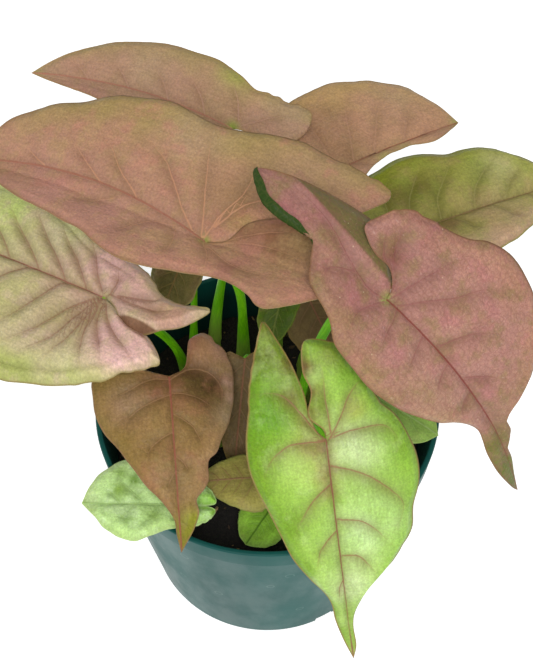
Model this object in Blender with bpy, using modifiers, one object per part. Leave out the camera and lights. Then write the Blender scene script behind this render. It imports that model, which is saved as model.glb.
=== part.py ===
"""Potted arrowhead plant (Syngonium): a moulded pot, potting soil, and leaves on their own stalks.

Blender 4.5 script. Sizes are named in millimetres and turned into metres when meshes are made.
The origin is the centre of the pot's underside, +Z is up and the plant's front faces -Y.

Each leaf is drawn flat first, in its own millimetres: u runs to the leaf's right and v runs from the
sinus, where the stalk meets the blade, to the tip. The flat blade is then arched, folded along its
midrib and waved, turned to its heading and slope, and set at its sinus point above the pot.
"""

from dataclasses import dataclass
import math

import bmesh
import bpy
from mathutils import Matrix, Vector, noise

MM = 0.001
GAP = 0.3

# Pot
POT_HEIGHT = 85.0
POT_RIM_RADIUS = 55.0
POT_BASE_RADIUS = 41.0
POT_WALL = 1.7
POT_FLOOR = 2.2
POT_BASE_ROUNDING = 3.5
COLLAR_HEIGHT = 8.5
COLLAR_STEP = 1.1
COLLAR_TAPER = 0.7
LIP_ROUNDING = 0.6
POT_STEPS = 60
DRAIN_SLOTS = 3
DRAIN_SLOT_ANGLE = -61.0
DRAIN_SLOT_WIDTH = 7.0
DRAIN_SLOT_HEIGHT = 4.5

# Soil
SOIL_TOP = 66.0
SOIL_LUMPS = 1.6
SOIL_LUMP_SIZE = 9.0
SOIL_STEPS = 40
SOIL_RINGS = 6
STALK_HOLE_FLOOR = 52.0

# Blades
BLADE_THICKNESS = 0.8
LARGE_GRID = (12, 6, 4)
SMALL_GRID = (7, 3, 3)
CURVE_SAMPLES = 10
FLAP_SHARE = 0.25

# Stalks
STALK_FOOT_RADIUS = 2.1
STALK_SOIL_HEIGHT = 69.0
STALK_ARCH_POINTS = 11
STALK_LEAN = 48.0
STALK_PULL = 0.18
STALK_TAPER = 0.12
STALK_SIDES_RESOLUTION = 2
STALK_ATTACH = 1.0

# Colours, linear
POT_COLOUR = (0.028, 0.085, 0.092, 1.0)
SOIL_COLOUR = (0.006, 0.005, 0.004, 1.0)
STALK_COLOUR = (0.09, 0.28, 0.012, 1.0)
PINK_BROWN = (0.36, 0.19, 0.14, 1.0)
ROSE = (0.38, 0.14, 0.14, 1.0)
PALE_PINK_GREEN = (0.42, 0.38, 0.25, 1.0)
OLIVE_BROWN = (0.22, 0.14, 0.07, 1.0)
LIME = (0.33, 0.52, 0.12, 1.0)
MINT = (0.30, 0.55, 0.20, 1.0)
OLIVE_GREEN = (0.24, 0.30, 0.06, 1.0)


@dataclass(frozen=True)
class Leaf:
    """One leaf. Lengths are in millimetres and angles in degrees.

    right and left are the margins as (inner, outer) pairs of (u, v) points: inner runs from the sinus
    back along the lobe, outer from the lobe's end forward towards the tip. u is positive on both.
    """

    name: str
    colour: tuple
    sinus: tuple
    heading: float
    length: float
    right: tuple
    left: tuple
    foot: tuple
    slope: float = 0.0
    roll: float = 0.0
    arch: float = 8.0
    lobe_drop: float = 8.0
    fold: float = 0.0
    droop: float = 0.12
    bow: float = 0.0
    wave: float = 0.6
    lift: tuple = (0.0, 0.0)
    twist: float = 0.0
    flap: float = 0.0
    stalk_radius: float = 1.4
    grid: tuple = LARGE_GRID


LEAVES = (
    Leaf(
        name="crown_leaf", colour=PINK_BROWN, sinus=(-17, -3, 166), heading=152, length=79,
        right=(((1.5, -5), (5, -9), (9, -16), (17, -27), (26, -35)),
               ((34, -39), (37, -30), (38, -11), (35, 10), (36, 34), (26, 59), (13, 74))),
        left=(((-2, -6), (-8, -9), (-12, -16), (-15, -26)),
              ((-12, -36), (-4, -39), (6, -32), (11, -22), (11, -9), (15, 13), (9, 42), (7, 62))),
        foot=(-8, 25), roll=-6, arch=10, lobe_drop=10, fold=20, droop=0.15, bow=5, lift=(0, 10),
        stalk_radius=1.5,
    ),
    Leaf(
        name="back_left_leaf", colour=PINK_BROWN, sinus=(-11, 59, 148), heading=157, length=72,
        right=(((1.5, -4), (1.5, -8), (0.5, -14), (4, -20)),
               ((9, -22), (15, -21), (14.5, -12), (14, -2), (21, 10), (21, 36), (14, 59), (7, 68))),
        left=(((1, -4), (1, -8), (0.5, -13)),
              ((6, -17), (15, -11), (16, 7), (11, 26), (4, 46), (2, 61))),
        foot=(-18, 34), slope=2, roll=-12, arch=10, fold=12, bow=1,
    ),
    Leaf(
        name="back_right_leaf", colour=PINK_BROWN, sinus=(17, 44, 142), heading=33, length=53,
        right=(((5, -6),), ((14, -9), (17, -1), (10, 14), (4, 30), (5, 42))),
        left=(((6, -5),), ((14, -8), (26, -2), (31, 9), (32, 23), (26, 37), (12, 49))),
        foot=(3, 30), roll=-4, arch=10, fold=14, droop=0.1,
    ),
    Leaf(
        name="right_leaf", colour=OLIVE_GREEN, sinus=(41, 31, 130), heading=27, length=64,
        right=(((5, -5),), ((14, -5), (17, 6), (17, 27), (10, 47))),
        left=(((3, -6),), ((9, -10), (16, -9), (23, 0), (26, 18), (21, 43), (10, 56))),
        foot=(12, 22), slope=-2, roll=4, fold=8,
    ),
    Leaf(
        name="front_right_leaf", colour=ROSE, sinus=(31, -23, 166), heading=-32, length=86,
        right=(((-1, -8), (-6, -18), (-7, -28), (-3, -40)),
               ((2, -48), (6, -42), (4, -33), (5, -24), (11, -17), (16, -3), (18, 17), (12, 34),
                (5, 48), (1.5, 62), (1.5, 76))),
        left=(((3, -4), (8, -10)),
              ((13, -16), (20, -14), (27, -1), (37, 18), (33, 38), (18, 51), (6, 58), (2, 70))),
        foot=(8, -11), slope=-42, roll=24, arch=36, lobe_drop=22, fold=4, droop=0.1, bow=-3,
        twist=35, flap=4, stalk_radius=1.5,
    ),
    Leaf(
        name="left_leaf", colour=PALE_PINK_GREEN, sinus=(-47, 2, 136), heading=151, length=74,
        right=(((-1, -7), (-5, -13), (-6, -20), (-1, -27)),
               ((7, -30), (8, -18), (14, -3), (22, 17), (28, 44), (20, 64))),
        left=(((2, -6), (3.5, -12), (3, -18)),
              ((8, -25), (15, -25), (23, -16), (31, -3), (35, 14), (30, 36), (15, 60))),
        foot=(-27, 18), slope=-2, roll=-8, fold=4, lift=(9, 0),
    ),
    Leaf(
        name="tucked_leaf", colour=OLIVE_BROWN, sinus=(-26, 33, 118), heading=-120, length=22,
        right=(((2, -2),), ((5, -3), (9, 3), (8, 12), (3, 19))),
        left=(((2, -2),), ((5, -3), (8, 3), (8, 12), (3, 19))),
        foot=(-25, 29), slope=-35, arch=15, fold=4, wave=0.3, stalk_radius=1.2, grid=SMALL_GRID,
    ),
    Leaf(
        name="front_left_leaf", colour=OLIVE_BROWN, sinus=(-30, -5, 106), heading=-84, length=54,
        right=(((6, -2),), ((13, -5), (24, 1), (22, 12), (15, 27), (2, 42), (1, 49))),
        left=(((5, -3),),
              ((7, -12), (12, -14), (18, -6), (20, 7), (14, 25), (8, 35), (4, 45), (1.5, 51))),
        foot=(-16, -4), slope=-12, roll=-5, arch=12, droop=0.15, twist=30,
    ),
    Leaf(
        name="front_leaf", colour=LIME, sinus=(16, -43, 130), heading=-76, length=72,
        right=(((3, -6), (2.5, -14), (4, -22)),
               ((11, -34), (15, -27), (20, -9), (22, 8), (16, 24), (6, 48), (3, 62))),
        left=(((-1.5, -6), (-1.8, -14), (-3, -22)),
              ((1, -28), (10, -24), (17, -10), (26, 9), (23, 26), (12, 45), (4, 55), (2, 64))),
        foot=(2, -14), slope=-47, arch=22, lobe_drop=18, droop=0.15, stalk_radius=1.5,
    ),
    Leaf(
        name="rim_leaf", colour=MINT, sinus=(-22, -40, 88.6), heading=178, length=34,
        right=(((1, -3),), ((3, -6), (7, -3), (15, 7), (17, 18), (12, 28), (6, 32))),
        left=(((1, -3),), ((3, -6), (6, -1), (8, 7), (12, 17), (9, 25), (4, 30))),
        foot=(-14, -20), slope=1, roll=-3, arch=6, wave=0.3, droop=0.08, stalk_radius=1.1,
        grid=SMALL_GRID,
    ),
    Leaf(
        name="seedling_leaf", colour=MINT, sinus=(1, -32, 72), heading=-124, length=14,
        right=(((1, -1),), ((4, -2), (8, 1), (8, 6), (4, 12))),
        left=(((1, -1),), ((4, -1), (8, 4), (7, 10), (3, 13))),
        foot=(4, -26), slope=-4, wave=0.2, stalk_radius=0.9, grid=SMALL_GRID,
    ),
    Leaf(
        name="olive_leaf", colour=OLIVE_BROWN, sinus=(-3, -30, 88), heading=181, length=19,
        right=(((2, -3),), ((6, -4), (9, 3), (8, 9), (5, 15))),
        left=(((2, -3),), ((7, -5), (11, -1), (10, 6), (5, 14))),
        foot=(-5, -18), slope=-4, wave=0.3, stalk_radius=1.0, grid=SMALL_GRID,
    ),
    Leaf(
        name="inner_leaf", colour=OLIVE_BROWN, sinus=(-7, 6, 100), heading=-98, length=38,
        right=(((3, -1),), ((6, -1), (9, 7), (8, 18), (4, 30))),
        left=(((2, -2),), ((6, -3), (8, 6), (7, 18), (3, 31))),
        foot=(-2, 14), slope=-42, arch=8, fold=4, wave=0.3, stalk_radius=1.1, grid=SMALL_GRID,
    ),
    Leaf(
        name="shade_leaf", colour=OLIVE_GREEN, sinus=(5, 13, 128), heading=-106, length=20,
        right=(((2, -1),), ((5, -1), (6, 6), (5, 14))),
        left=(((2, -1),), ((5, -1), (6, 6), (4, 14))),
        foot=(-1, 22), slope=-30, arch=15, fold=4, wave=0.2, stalk_radius=1.1, grid=SMALL_GRID,
    ),
    Leaf(
        name="under_leaf", colour=OLIVE_BROWN, sinus=(13, 20, 112), heading=-56, length=26,
        right=(((3, -2),), ((8, -2), (11, 4), (10, 13), (5, 22))),
        left=(((3, -1),), ((6, -2), (8, 7), (7, 17), (3, 23))),
        foot=(13, 13), slope=-35, arch=15, fold=4, wave=0.3, stalk_radius=1.1, grid=SMALL_GRID,
    ),
    Leaf(
        name="side_leaf", colour=MINT, sinus=(29, -4, 98), heading=-28, length=28,
        right=(((3, -2),), ((7, -3), (12, 5), (11, 16), (6, 24))),
        left=(((3, -2),), ((7, -3), (11, 5), (10, 16), (5, 24))),
        foot=(17, 1), slope=-8, arch=15, fold=4, wave=0.3, stalk_radius=1.1, grid=SMALL_GRID,
    ),
)


def clear_scene():
    """Remove every object of the scene."""
    for obj in list(bpy.data.objects):
        bpy.data.objects.remove(obj, do_unlink=True)


def new_collection(name):
    """Make a collection and link it to the scene."""
    collection = bpy.data.collections.new(name)
    bpy.context.scene.collection.children.link(collection)
    return collection


def material(name, colour, roughness):
    """A plain Principled material."""
    made = bpy.data.materials.new(name)
    made.use_nodes = True
    shader = made.node_tree.nodes["Principled BSDF"]
    shader.inputs["Base Color"].default_value = colour
    shader.inputs["Roughness"].default_value = roughness
    shader.inputs["Metallic"].default_value = 0.0
    made.diffuse_color = colour
    return made


def link_mesh(name, mesh, collection, look):
    """Put a mesh in the scene as an object of that name."""
    obj = bpy.data.objects.new(name, mesh)
    collection.objects.link(obj)
    mesh.materials.append(look)
    return obj


def apply_modifiers(obj):
    """Replace the object's mesh by its evaluated mesh."""
    graph = bpy.context.evaluated_depsgraph_get()
    made = bpy.data.meshes.new_from_object(obj.evaluated_get(graph))
    old = obj.data
    obj.modifiers.clear()
    obj.data = made
    bpy.data.meshes.remove(old)


def arc(centre, radius, start, end, steps):
    """Points of an arc, angles in degrees."""
    points = []
    for step in range(steps + 1):
        angle = math.radians(start + (end - start) * step / steps)
        points.append((centre[0] + radius * math.cos(angle), centre[1] + radius * math.sin(angle)))
    return points


def wall_radius(z):
    """Outer radius of the pot's tapered body at height z."""
    top = POT_RIM_RADIUS - COLLAR_TAPER - COLLAR_STEP
    share = z / (POT_HEIGHT - COLLAR_HEIGHT)
    return POT_BASE_RADIUS + (top - POT_BASE_RADIUS) * share


def turned(name, profile, steps, collection, look):
    """A solid turned from a closed profile of (radius, height) points, outer side running down."""
    mesh = bpy.data.meshes.new(name)
    points = [(r * MM, 0.0, z * MM) for r, z in profile]
    edges = [(i, i + 1) for i in range(len(points) - 1)]
    mesh.from_pydata(points, edges, [])
    obj = link_mesh(name, mesh, collection, look)
    screw = obj.modifiers.new("Turn", "SCREW")
    screw.steps = steps
    screw.render_steps = steps
    screw.use_merge_vertices = True
    screw.merge_threshold = 1e-5
    screw.use_smooth_shade = True
    return obj


def build_pot(collection, cutters):
    """The moulded pot: floor, tapered wall, stepped rim collar and drainage slots."""
    look = material("pot_plastic", POT_COLOUR, 0.45)
    collar_bottom = POT_HEIGHT - COLLAR_HEIGHT
    lip_inner = POT_RIM_RADIUS - POT_WALL
    rounding = POT_BASE_ROUNDING
    profile = [(0.0, POT_FLOOR)]
    profile += arc((wall_radius(POT_FLOOR) - POT_WALL - 2.0, POT_FLOOR + 2.0), 2.0, -90, 0, 3)
    profile += [(wall_radius(collar_bottom) - POT_WALL, collar_bottom)]
    profile += arc((lip_inner + LIP_ROUNDING, POT_HEIGHT - LIP_ROUNDING), LIP_ROUNDING, 180, 90, 2)
    profile += arc((POT_RIM_RADIUS - LIP_ROUNDING, POT_HEIGHT - LIP_ROUNDING), LIP_ROUNDING, 90, 0, 2)
    profile += [(POT_RIM_RADIUS - COLLAR_TAPER, collar_bottom + 0.5)]
    profile += [(POT_RIM_RADIUS - COLLAR_TAPER - 0.5, collar_bottom)]
    profile += [(wall_radius(collar_bottom), collar_bottom)]
    profile += arc((wall_radius(rounding) - rounding, rounding), rounding, 0, -90, 4)
    profile += [(0.0, 0.0)]
    pot = turned("pot", profile, POT_STEPS, collection, look)
    for slot in range(DRAIN_SLOTS):
        angle = math.radians(DRAIN_SLOT_ANGLE + 360.0 / DRAIN_SLOTS * slot)
        bpy.ops.mesh.primitive_cube_add(size=1.0)
        cutter = bpy.context.object
        cutter.name = f"drain_slot_cutter_{slot}"
        cutter.dimensions = (10.0 * MM, DRAIN_SLOT_WIDTH * MM, 2 * DRAIN_SLOT_HEIGHT * MM)
        cutter.location = (
            POT_BASE_RADIUS * math.cos(angle) * MM,
            POT_BASE_RADIUS * math.sin(angle) * MM,
            0.0,
        )
        cutter.rotation_euler = (0.0, 0.0, angle)
        hide_cutter(cutter, cutters)
        cut = pot.modifiers.new(f"Drain {slot}", "BOOLEAN")
        cut.object = cutter
        cut.operation = "DIFFERENCE"
        cut.solver = "EXACT"
    return pot


def hide_cutter(cutter, cutters):
    """Move a cutter to the cutters' collection and out of the render."""
    for owner in list(cutter.users_collection):
        owner.objects.unlink(cutter)
    cutters.objects.link(cutter)
    cutter.hide_render = True
    cutter.display_type = "WIRE"


def build_soil(collection, cutters):
    """The potting mix: fills the pot, lumpy on top, with a plain hole for each stalk."""
    look = material("potting_soil", SOIL_COLOUR, 0.95)
    clear = POT_WALL + 2 * GAP
    bottom = POT_FLOOR + GAP
    floor_edge = wall_radius(bottom + 3.0) - clear - 2.4
    profile = []
    for ring in range(SOIL_RINGS + 1):
        profile.append(((wall_radius(SOIL_TOP) - clear) * ring / SOIL_RINGS, SOIL_TOP))
    profile += [(floor_edge + 2.4, bottom + 3.0), (floor_edge, bottom), (0.0, bottom)]
    soil = turned("soil", profile, SOIL_STEPS, collection, look)
    apply_modifiers(soil)
    for vertex in soil.data.vertices:
        reach = math.hypot(vertex.co.x, vertex.co.y) / MM
        if vertex.co.z > (SOIL_TOP - 1.0) * MM:
            lump = noise.noise(vertex.co / (SOIL_LUMP_SIZE * MM)) * SOIL_LUMPS
            vertex.co.z += lump * MM * (1.0 if reach < wall_radius(SOIL_TOP) - clear - 1.0 else 0.4)
    for leaf in LEAVES:
        depth = SOIL_TOP + 10.0 - STALK_HOLE_FLOOR
        bpy.ops.mesh.primitive_cylinder_add(
            vertices=12,
            radius=(foot_radius(leaf) + GAP) * MM / math.cos(math.pi / 12),
            depth=depth * MM,
            location=(leaf.foot[0] * MM, leaf.foot[1] * MM, (STALK_HOLE_FLOOR + depth / 2) * MM),
        )
        cutter = bpy.context.object
        cutter.name = f"{leaf.name}_hole_cutter"
        hide_cutter(cutter, cutters)
        cut = soil.modifiers.new(f"Hole {leaf.name}", "BOOLEAN")
        cut.object = cutter
        cut.operation = "DIFFERENCE"
        cut.solver = "EXACT"
    return soil


def spline(points, samples):
    """Points along a Catmull-Rom curve through the given points, ends included."""
    ends = [2 * points[0] - points[1], *points, 2 * points[-1] - points[-2]]
    found = []
    for i in range(1, len(ends) - 2):
        a, b, c, d = ends[i - 1 : i + 3]
        for k in range(samples):
            t = k / samples
            along = (c - a) * t
            bend = (2 * a - 5 * b + 4 * c - d) * t * t
            turn = (3 * b - a - 3 * c + d) * t**3
            found.append((2 * b + along + bend + turn) / 2)
    return found + [points[-1]]


def at_share(line, share):
    """The point at a share of a polyline's length."""
    lengths = [0.0]
    for a, b in zip(line, line[1:]):
        lengths.append(lengths[-1] + (b - a).length)
    wanted = share * lengths[-1]
    for i in range(1, len(line)):
        if wanted <= lengths[i] or i == len(line) - 1:
            span = lengths[i] - lengths[i - 1]
            return line[i - 1].lerp(line[i], min(1.0, (wanted - lengths[i - 1]) / span))
    return line[-1]


class Side:
    """One half of a flat blade: the lines that its cross lines run between."""

    def __init__(self, leaf, margin, sign):
        inner, outer = margin
        sinus = Vector((0.0, 0.0))
        tip = Vector((0.0, leaf.length))
        inner = [Vector((sign * u, v)) for u, v in inner]
        outer = [Vector((sign * u, v)) for u, v in outer]
        whole = spline([sinus, *inner, *outer, tip], CURVE_SAMPLES)
        end = (len(inner) + 1) * CURVE_SAMPLES
        rim = whole[end:]
        shoulder = 0.25 * outer[0].y
        split = next(i for i, point in enumerate(rim) if point.y >= shoulder)
        self.leaf = leaf
        self.sign = sign
        self.lobe_inner = whole[: end + 1]
        self.lobe_outer = list(reversed(rim[: split + 1]))
        self.blade_outer = list(reversed(rim[split:]))

    def midrib(self, share):
        """The midrib from tip (0) to sinus (1)."""
        v = self.leaf.length * (1.0 - share)
        return Vector((self.leaf.bow * 4.0 * share * (1.0 - share), v))

    def point(self, along, across):
        """A point of the flat blade and its height above it.

        along is 0 at the tip, 1 at the sinus and 2 at the lobe's end; across is 0 to 1 to the margin.
        """
        leaf = self.leaf
        if along <= 1.0:
            start = self.midrib(along)
            end = at_share(self.blade_outer, along)
        else:
            start = at_share(self.lobe_inner, along - 1.0)
            end = at_share(self.lobe_outer, along - 1.0)
        height = 0.0
        if leaf.flap and self.sign > 0 and along > 1.0:
            grown = min(1.0, (along - 1.0) / 0.35) * math.sqrt(max(0.0, 1.0 - ((along - 1.0) ** 6)))
            hinge = 1.0 - FLAP_SHARE * grown
            folded = max(0.0, across - hinge) / FLAP_SHARE * leaf.flap
            across = min(1.0, across / hinge)
            end_way = (start - end).normalized() if (start - end).length > 0.01 else Vector((0, 0))
            flat = start.lerp(end, across) + end_way * folded * 0.64
            height += folded * 0.77
        else:
            flat = start.lerp(end, across)
        ripple = math.sin(6.5 * along + 1.7 * self.sign) + 0.6 * math.sin(13.0 * along + self.sign)
        height += leaf.wave * across**2 * ripple * min(1.0, 3.0 * along)
        lift = leaf.lift[0] if self.sign > 0 else leaf.lift[1]
        height += max(0.0, -flat.y) * math.sin(math.radians(lift))
        return flat, height


def leaf_matrix(leaf):
    """Turns the flat leaf's axes to its heading, slope and roll, and sets it at its sinus."""
    turn = Matrix.Rotation(math.radians(leaf.heading - 90.0), 4, "Z")
    tilt = Matrix.Rotation(math.radians(leaf.slope), 4, "X")
    roll = Matrix.Rotation(math.radians(leaf.roll), 4, "Y")
    return Matrix.Translation(Vector(leaf.sinus)) @ turn @ tilt @ roll


def raised(leaf, flat, height):
    """Bends a point of the flat blade into the arched, folded blade."""
    u, v = flat
    back = leaf_back(leaf)
    if v > 0:
        angle = math.radians(-leaf.arch * v / leaf.length)
    else:
        angle = math.radians(leaf.lobe_drop * -v / back)
    half_width = leaf_half_width(leaf)
    height += abs(u) * math.sin(math.radians(leaf.fold)) - leaf.droop * u * u / half_width
    near_tip = max(0.0, (v / leaf.length - 0.78) / 0.22)
    height += u * math.tan(math.radians(leaf.twist)) * near_tip
    along = v * math.cos(angle / 2)
    rise = v * math.sin(angle / 2)
    return Vector((u, along - height * math.sin(angle), rise + height * math.cos(angle)))


def leaf_back(leaf):
    """How far the lobes reach behind the sinus."""
    return max(-leaf.right[1][0][1], -leaf.left[1][0][1])


def leaf_half_width(leaf):
    """The wider half's width."""
    return max(max(u for u, _ in leaf.right[1]), max(u for u, _ in leaf.left[1]))


def blade_mesh(leaf):
    """The blade's middle surface as triangles."""
    forward, backward, columns = leaf.grid
    place = leaf_matrix(leaf)
    mesh = bmesh.new()
    shared = {}

    def vertex(side, row, column):
        key = (side.sign, row, column)
        if row == 0:
            key = ("tip",)
        elif row == forward + backward and not (leaf.flap and side.sign > 0 and column == columns):
            key = (side.sign, "lobe")
        elif column == 0 and row <= forward:
            key = ("midrib", row)
        if key not in shared:
            along = row / forward if row <= forward else 1.0 + (row - forward) / backward
            flat, height = side.point(along, column / columns)
            shared[key] = mesh.verts.new(place @ raised(leaf, flat, height) * MM)
        return shared[key]

    for side in (Side(leaf, leaf.right, 1), Side(leaf, leaf.left, -1)):
        for row in range(forward + backward):
            for column in range(columns):
                corners = [
                    vertex(side, row, column),
                    vertex(side, row, column + 1),
                    vertex(side, row + 1, column + 1),
                    vertex(side, row + 1, column),
                ]
                for trio in (corners[:3], [corners[0], corners[2], corners[3]]):
                    if len(set(trio)) == 3:
                        mesh.faces.new(trio if side.sign < 0 else trio[::-1])
    bmesh.ops.recalc_face_normals(mesh, faces=mesh.faces)
    made = bpy.data.meshes.new(leaf.name)
    mesh.to_mesh(made)
    mesh.free()
    return made


def build_blade(leaf, collection):
    """One blade: its middle surface given an even thickness."""
    look = material(f"{leaf.name}_colour", leaf.colour, 0.5)
    blade = link_mesh(f"{leaf.name}_blade", blade_mesh(leaf), collection, look)
    blade.data.shade_smooth()
    skin = blade.modifiers.new("Thickness", "SOLIDIFY")
    skin.thickness = BLADE_THICKNESS * MM
    skin.offset = 0.0
    return blade


def foot_radius(leaf):
    """Radius of the stalk's sheathing foot."""
    return STALK_FOOT_RADIUS * leaf.stalk_radius / 1.4


def bezier(a, b, c, d, t):
    """A point of a cubic curve."""
    s = 1.0 - t
    return a * s**3 + b * 3 * s * s * t + c * 3 * s * t * t + d * t**3


def stalk_route(leaf):
    """The stalk's centre line: straight up out of its hole, then in an arch to the blade."""
    place = leaf_matrix(leaf)
    attach = Vector((0.0, STALK_ATTACH))
    top = place @ raised(leaf, attach, 0.0)
    down = -(place.to_3x3() @ Vector((0.0, 0.0, 1.0)))
    back = place.to_3x3() @ Vector((0.0, -1.0, 0.0))
    lean = math.radians(STALK_LEAN)
    away = down * math.cos(lean) + back * math.sin(lean)
    end = top + down * (BLADE_THICKNESS / 2 + GAP + 0.8 * leaf.stalk_radius * math.sin(lean))
    start = Vector((leaf.foot[0], leaf.foot[1], STALK_SOIL_HEIGHT))
    reach = (end - start).length
    route = [Vector((leaf.foot[0], leaf.foot[1], STALK_HOLE_FLOOR + GAP))]
    for step in range(STALK_ARCH_POINTS):
        t = step / (STALK_ARCH_POINTS - 1)
        up = start + Vector((0.0, 0.0, 0.45 * reach))
        route.append(bezier(start, up, end + away * STALK_PULL * reach, end, t))
    return route


def build_stalk(leaf, collection, look):
    """One leaf stalk: a tapering tube, wider at its sheathing foot."""
    route = stalk_route(leaf)
    curve = bpy.data.curves.new(f"{leaf.name}_stalk", "CURVE")
    curve.dimensions = "3D"
    curve.bevel_depth = leaf.stalk_radius * MM
    curve.bevel_resolution = STALK_SIDES_RESOLUTION
    curve.use_fill_caps = True
    line = curve.splines.new("POLY")
    line.points.add(len(route) - 1)
    for i, point in enumerate(route):
        share = max(0.0, i - 1) / (STALK_ARCH_POINTS - 1)
        line.points[i].co = (*(point * MM), 1.0)
        sheath = foot_radius(leaf) / leaf.stalk_radius - 1.0
        line.points[i].radius = 1.0 + sheath * max(0.0, 1.0 - 3.5 * share) - STALK_TAPER * share
    stalk = bpy.data.objects.new(f"{leaf.name}_stalk", curve)
    curve.materials.append(look)
    collection.objects.link(stalk)
    return stalk


def main():
    """Build the whole plant."""
    clear_scene()
    plant = new_collection("arrowhead_plant")
    cutters = new_collection("cutters")
    build_pot(plant, cutters)
    build_soil(plant, cutters)
    stalk_look = material("stalk_green", STALK_COLOUR, 0.45)
    for leaf in LEAVES:
        build_blade(leaf, plant)
        build_stalk(leaf, plant, stalk_look)


if __name__ == "__main__":
    main()
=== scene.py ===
"""Potted arrowhead plant: pot, potting mix, leaf stalks and leaf blades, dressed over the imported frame.

Everything is in metres once it is a mesh; sizes are named in millimetres. The origin is the centre of
the pot's underside, +Z is up and the plant's front faces -Y. A leaf is drawn flat first, with u to the
leaf's right and v from the sinus, where the stalk meets the blade, to the tip.
"""

import logging
import math
import random
from dataclasses import dataclass
from enum import Enum
from typing import Any, Optional, Sequence, Union

import bmesh
import bpy
import numpy as np
from mathutils import Euler, Matrix, Vector, noise


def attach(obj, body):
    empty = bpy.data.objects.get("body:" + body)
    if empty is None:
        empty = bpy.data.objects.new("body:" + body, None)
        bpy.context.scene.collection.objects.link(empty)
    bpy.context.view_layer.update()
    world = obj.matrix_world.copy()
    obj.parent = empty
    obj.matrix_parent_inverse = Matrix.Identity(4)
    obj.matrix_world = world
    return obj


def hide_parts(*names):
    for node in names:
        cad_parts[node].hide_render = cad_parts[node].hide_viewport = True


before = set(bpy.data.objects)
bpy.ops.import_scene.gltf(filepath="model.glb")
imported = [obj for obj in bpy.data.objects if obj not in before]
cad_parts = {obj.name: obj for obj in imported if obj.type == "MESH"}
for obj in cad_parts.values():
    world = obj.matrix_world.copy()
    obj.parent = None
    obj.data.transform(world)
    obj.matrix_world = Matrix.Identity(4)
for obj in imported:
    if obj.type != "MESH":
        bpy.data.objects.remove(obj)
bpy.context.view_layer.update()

MM = 0.001
LOG = logging.getLogger("arrowhead_plant")

Socket = bpy.types.NodeSocket
Value = Union[Socket, float, tuple]
Inputs = dict[Union[str, int], Value]
Points = Sequence[Sequence[float]]
Spot = tuple[float, float]


def linear(code: str) -> tuple[float, float, float, float]:
    """Turn an sRGB hex colour into linear RGBA.

    Args:
        code: The colour as "#rrggbb".

    Returns:
        Red, green, blue and 1.0, linear.
    """
    parts = [int(code[i : i + 2], 16) / 255.0 for i in (1, 3, 5)]
    red, green, blue = [c / 12.92 if c <= 0.04045 else ((c + 0.055) / 1.055) ** 2.4 for c in parts]
    return red, green, blue, 1.0


def smooth_step(low: float, high: float, value: np.ndarray) -> np.ndarray:
    """A soft step from 0 at low to 1 at high."""
    share = np.clip((value - low) / (high - low), 0.0, 1.0)
    return share * share * (3.0 - 2.0 * share)


class Half(Enum):
    """The two halves of a blade, seen from above with the tip ahead."""

    RIGHT = 1
    LEFT = -1


class Blend(Enum):
    """How two colours are mixed."""

    MIX = "MIX"
    MULTIPLY = "MULTIPLY"


class Tone(Enum):
    """The colours that a blade's soft patches take, as sRGB hex."""

    LEAF_LIME = "#8cc23e"
    LEAF_DEEP = "#64931c"
    MINT_SHADE = "#6c8f34"
    STALK_GREEN = "#85a630"
    MINT_DUSK = "#89a84b"
    MINT_SOFT = "#8fae5e"
    MINT_PALE = "#bfdc98"
    LIME_PALE = "#b5ca6e"
    OLIVE_DEEP = "#5e6e1a"
    LIME_WHITE = "#cedcaa"
    OLIVE = "#808934"
    OLIVE_LIGHT = "#9fa64c"
    OLIVE_GREY = "#969a5b"
    OLIVE_YELLOW = "#92922b"
    CREAM = "#cecb9f"
    MOSS = "#716b2e"
    STRAW = "#b4ae78"
    # Painted shade: the darkest shadow in a leaf's hollow.
    HOLLOW_SHADE_DARK = "#453416"
    BARK_OLIVE = "#7e683c"
    # Painted shade: a shadow in a leaf's hollow.
    HOLLOW_SHADE = "#543b1f"
    # Painted shade: under a lobe or in a hollow.
    BROWN_SHADE = "#6c532f"
    TAN_DARK = "#997f59"
    TAN = "#aa8f71"
    BRONZE = "#8e6e43"
    BRONZE_LIGHT = "#927150"
    TAN_ROSE = "#a07e65"
    ROSE_TAN = "#b8917e"
    PINK = "#cda49d"
    PINK_PALE = "#dab0aa"
    RUST = "#82573d"
    RUST_DARK = "#784b36"
    DUSTY_ROSE = "#ac7e6e"
    PLUM = "#8e6057"
    ROSE_BROWN = "#9e6b5b"


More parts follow.
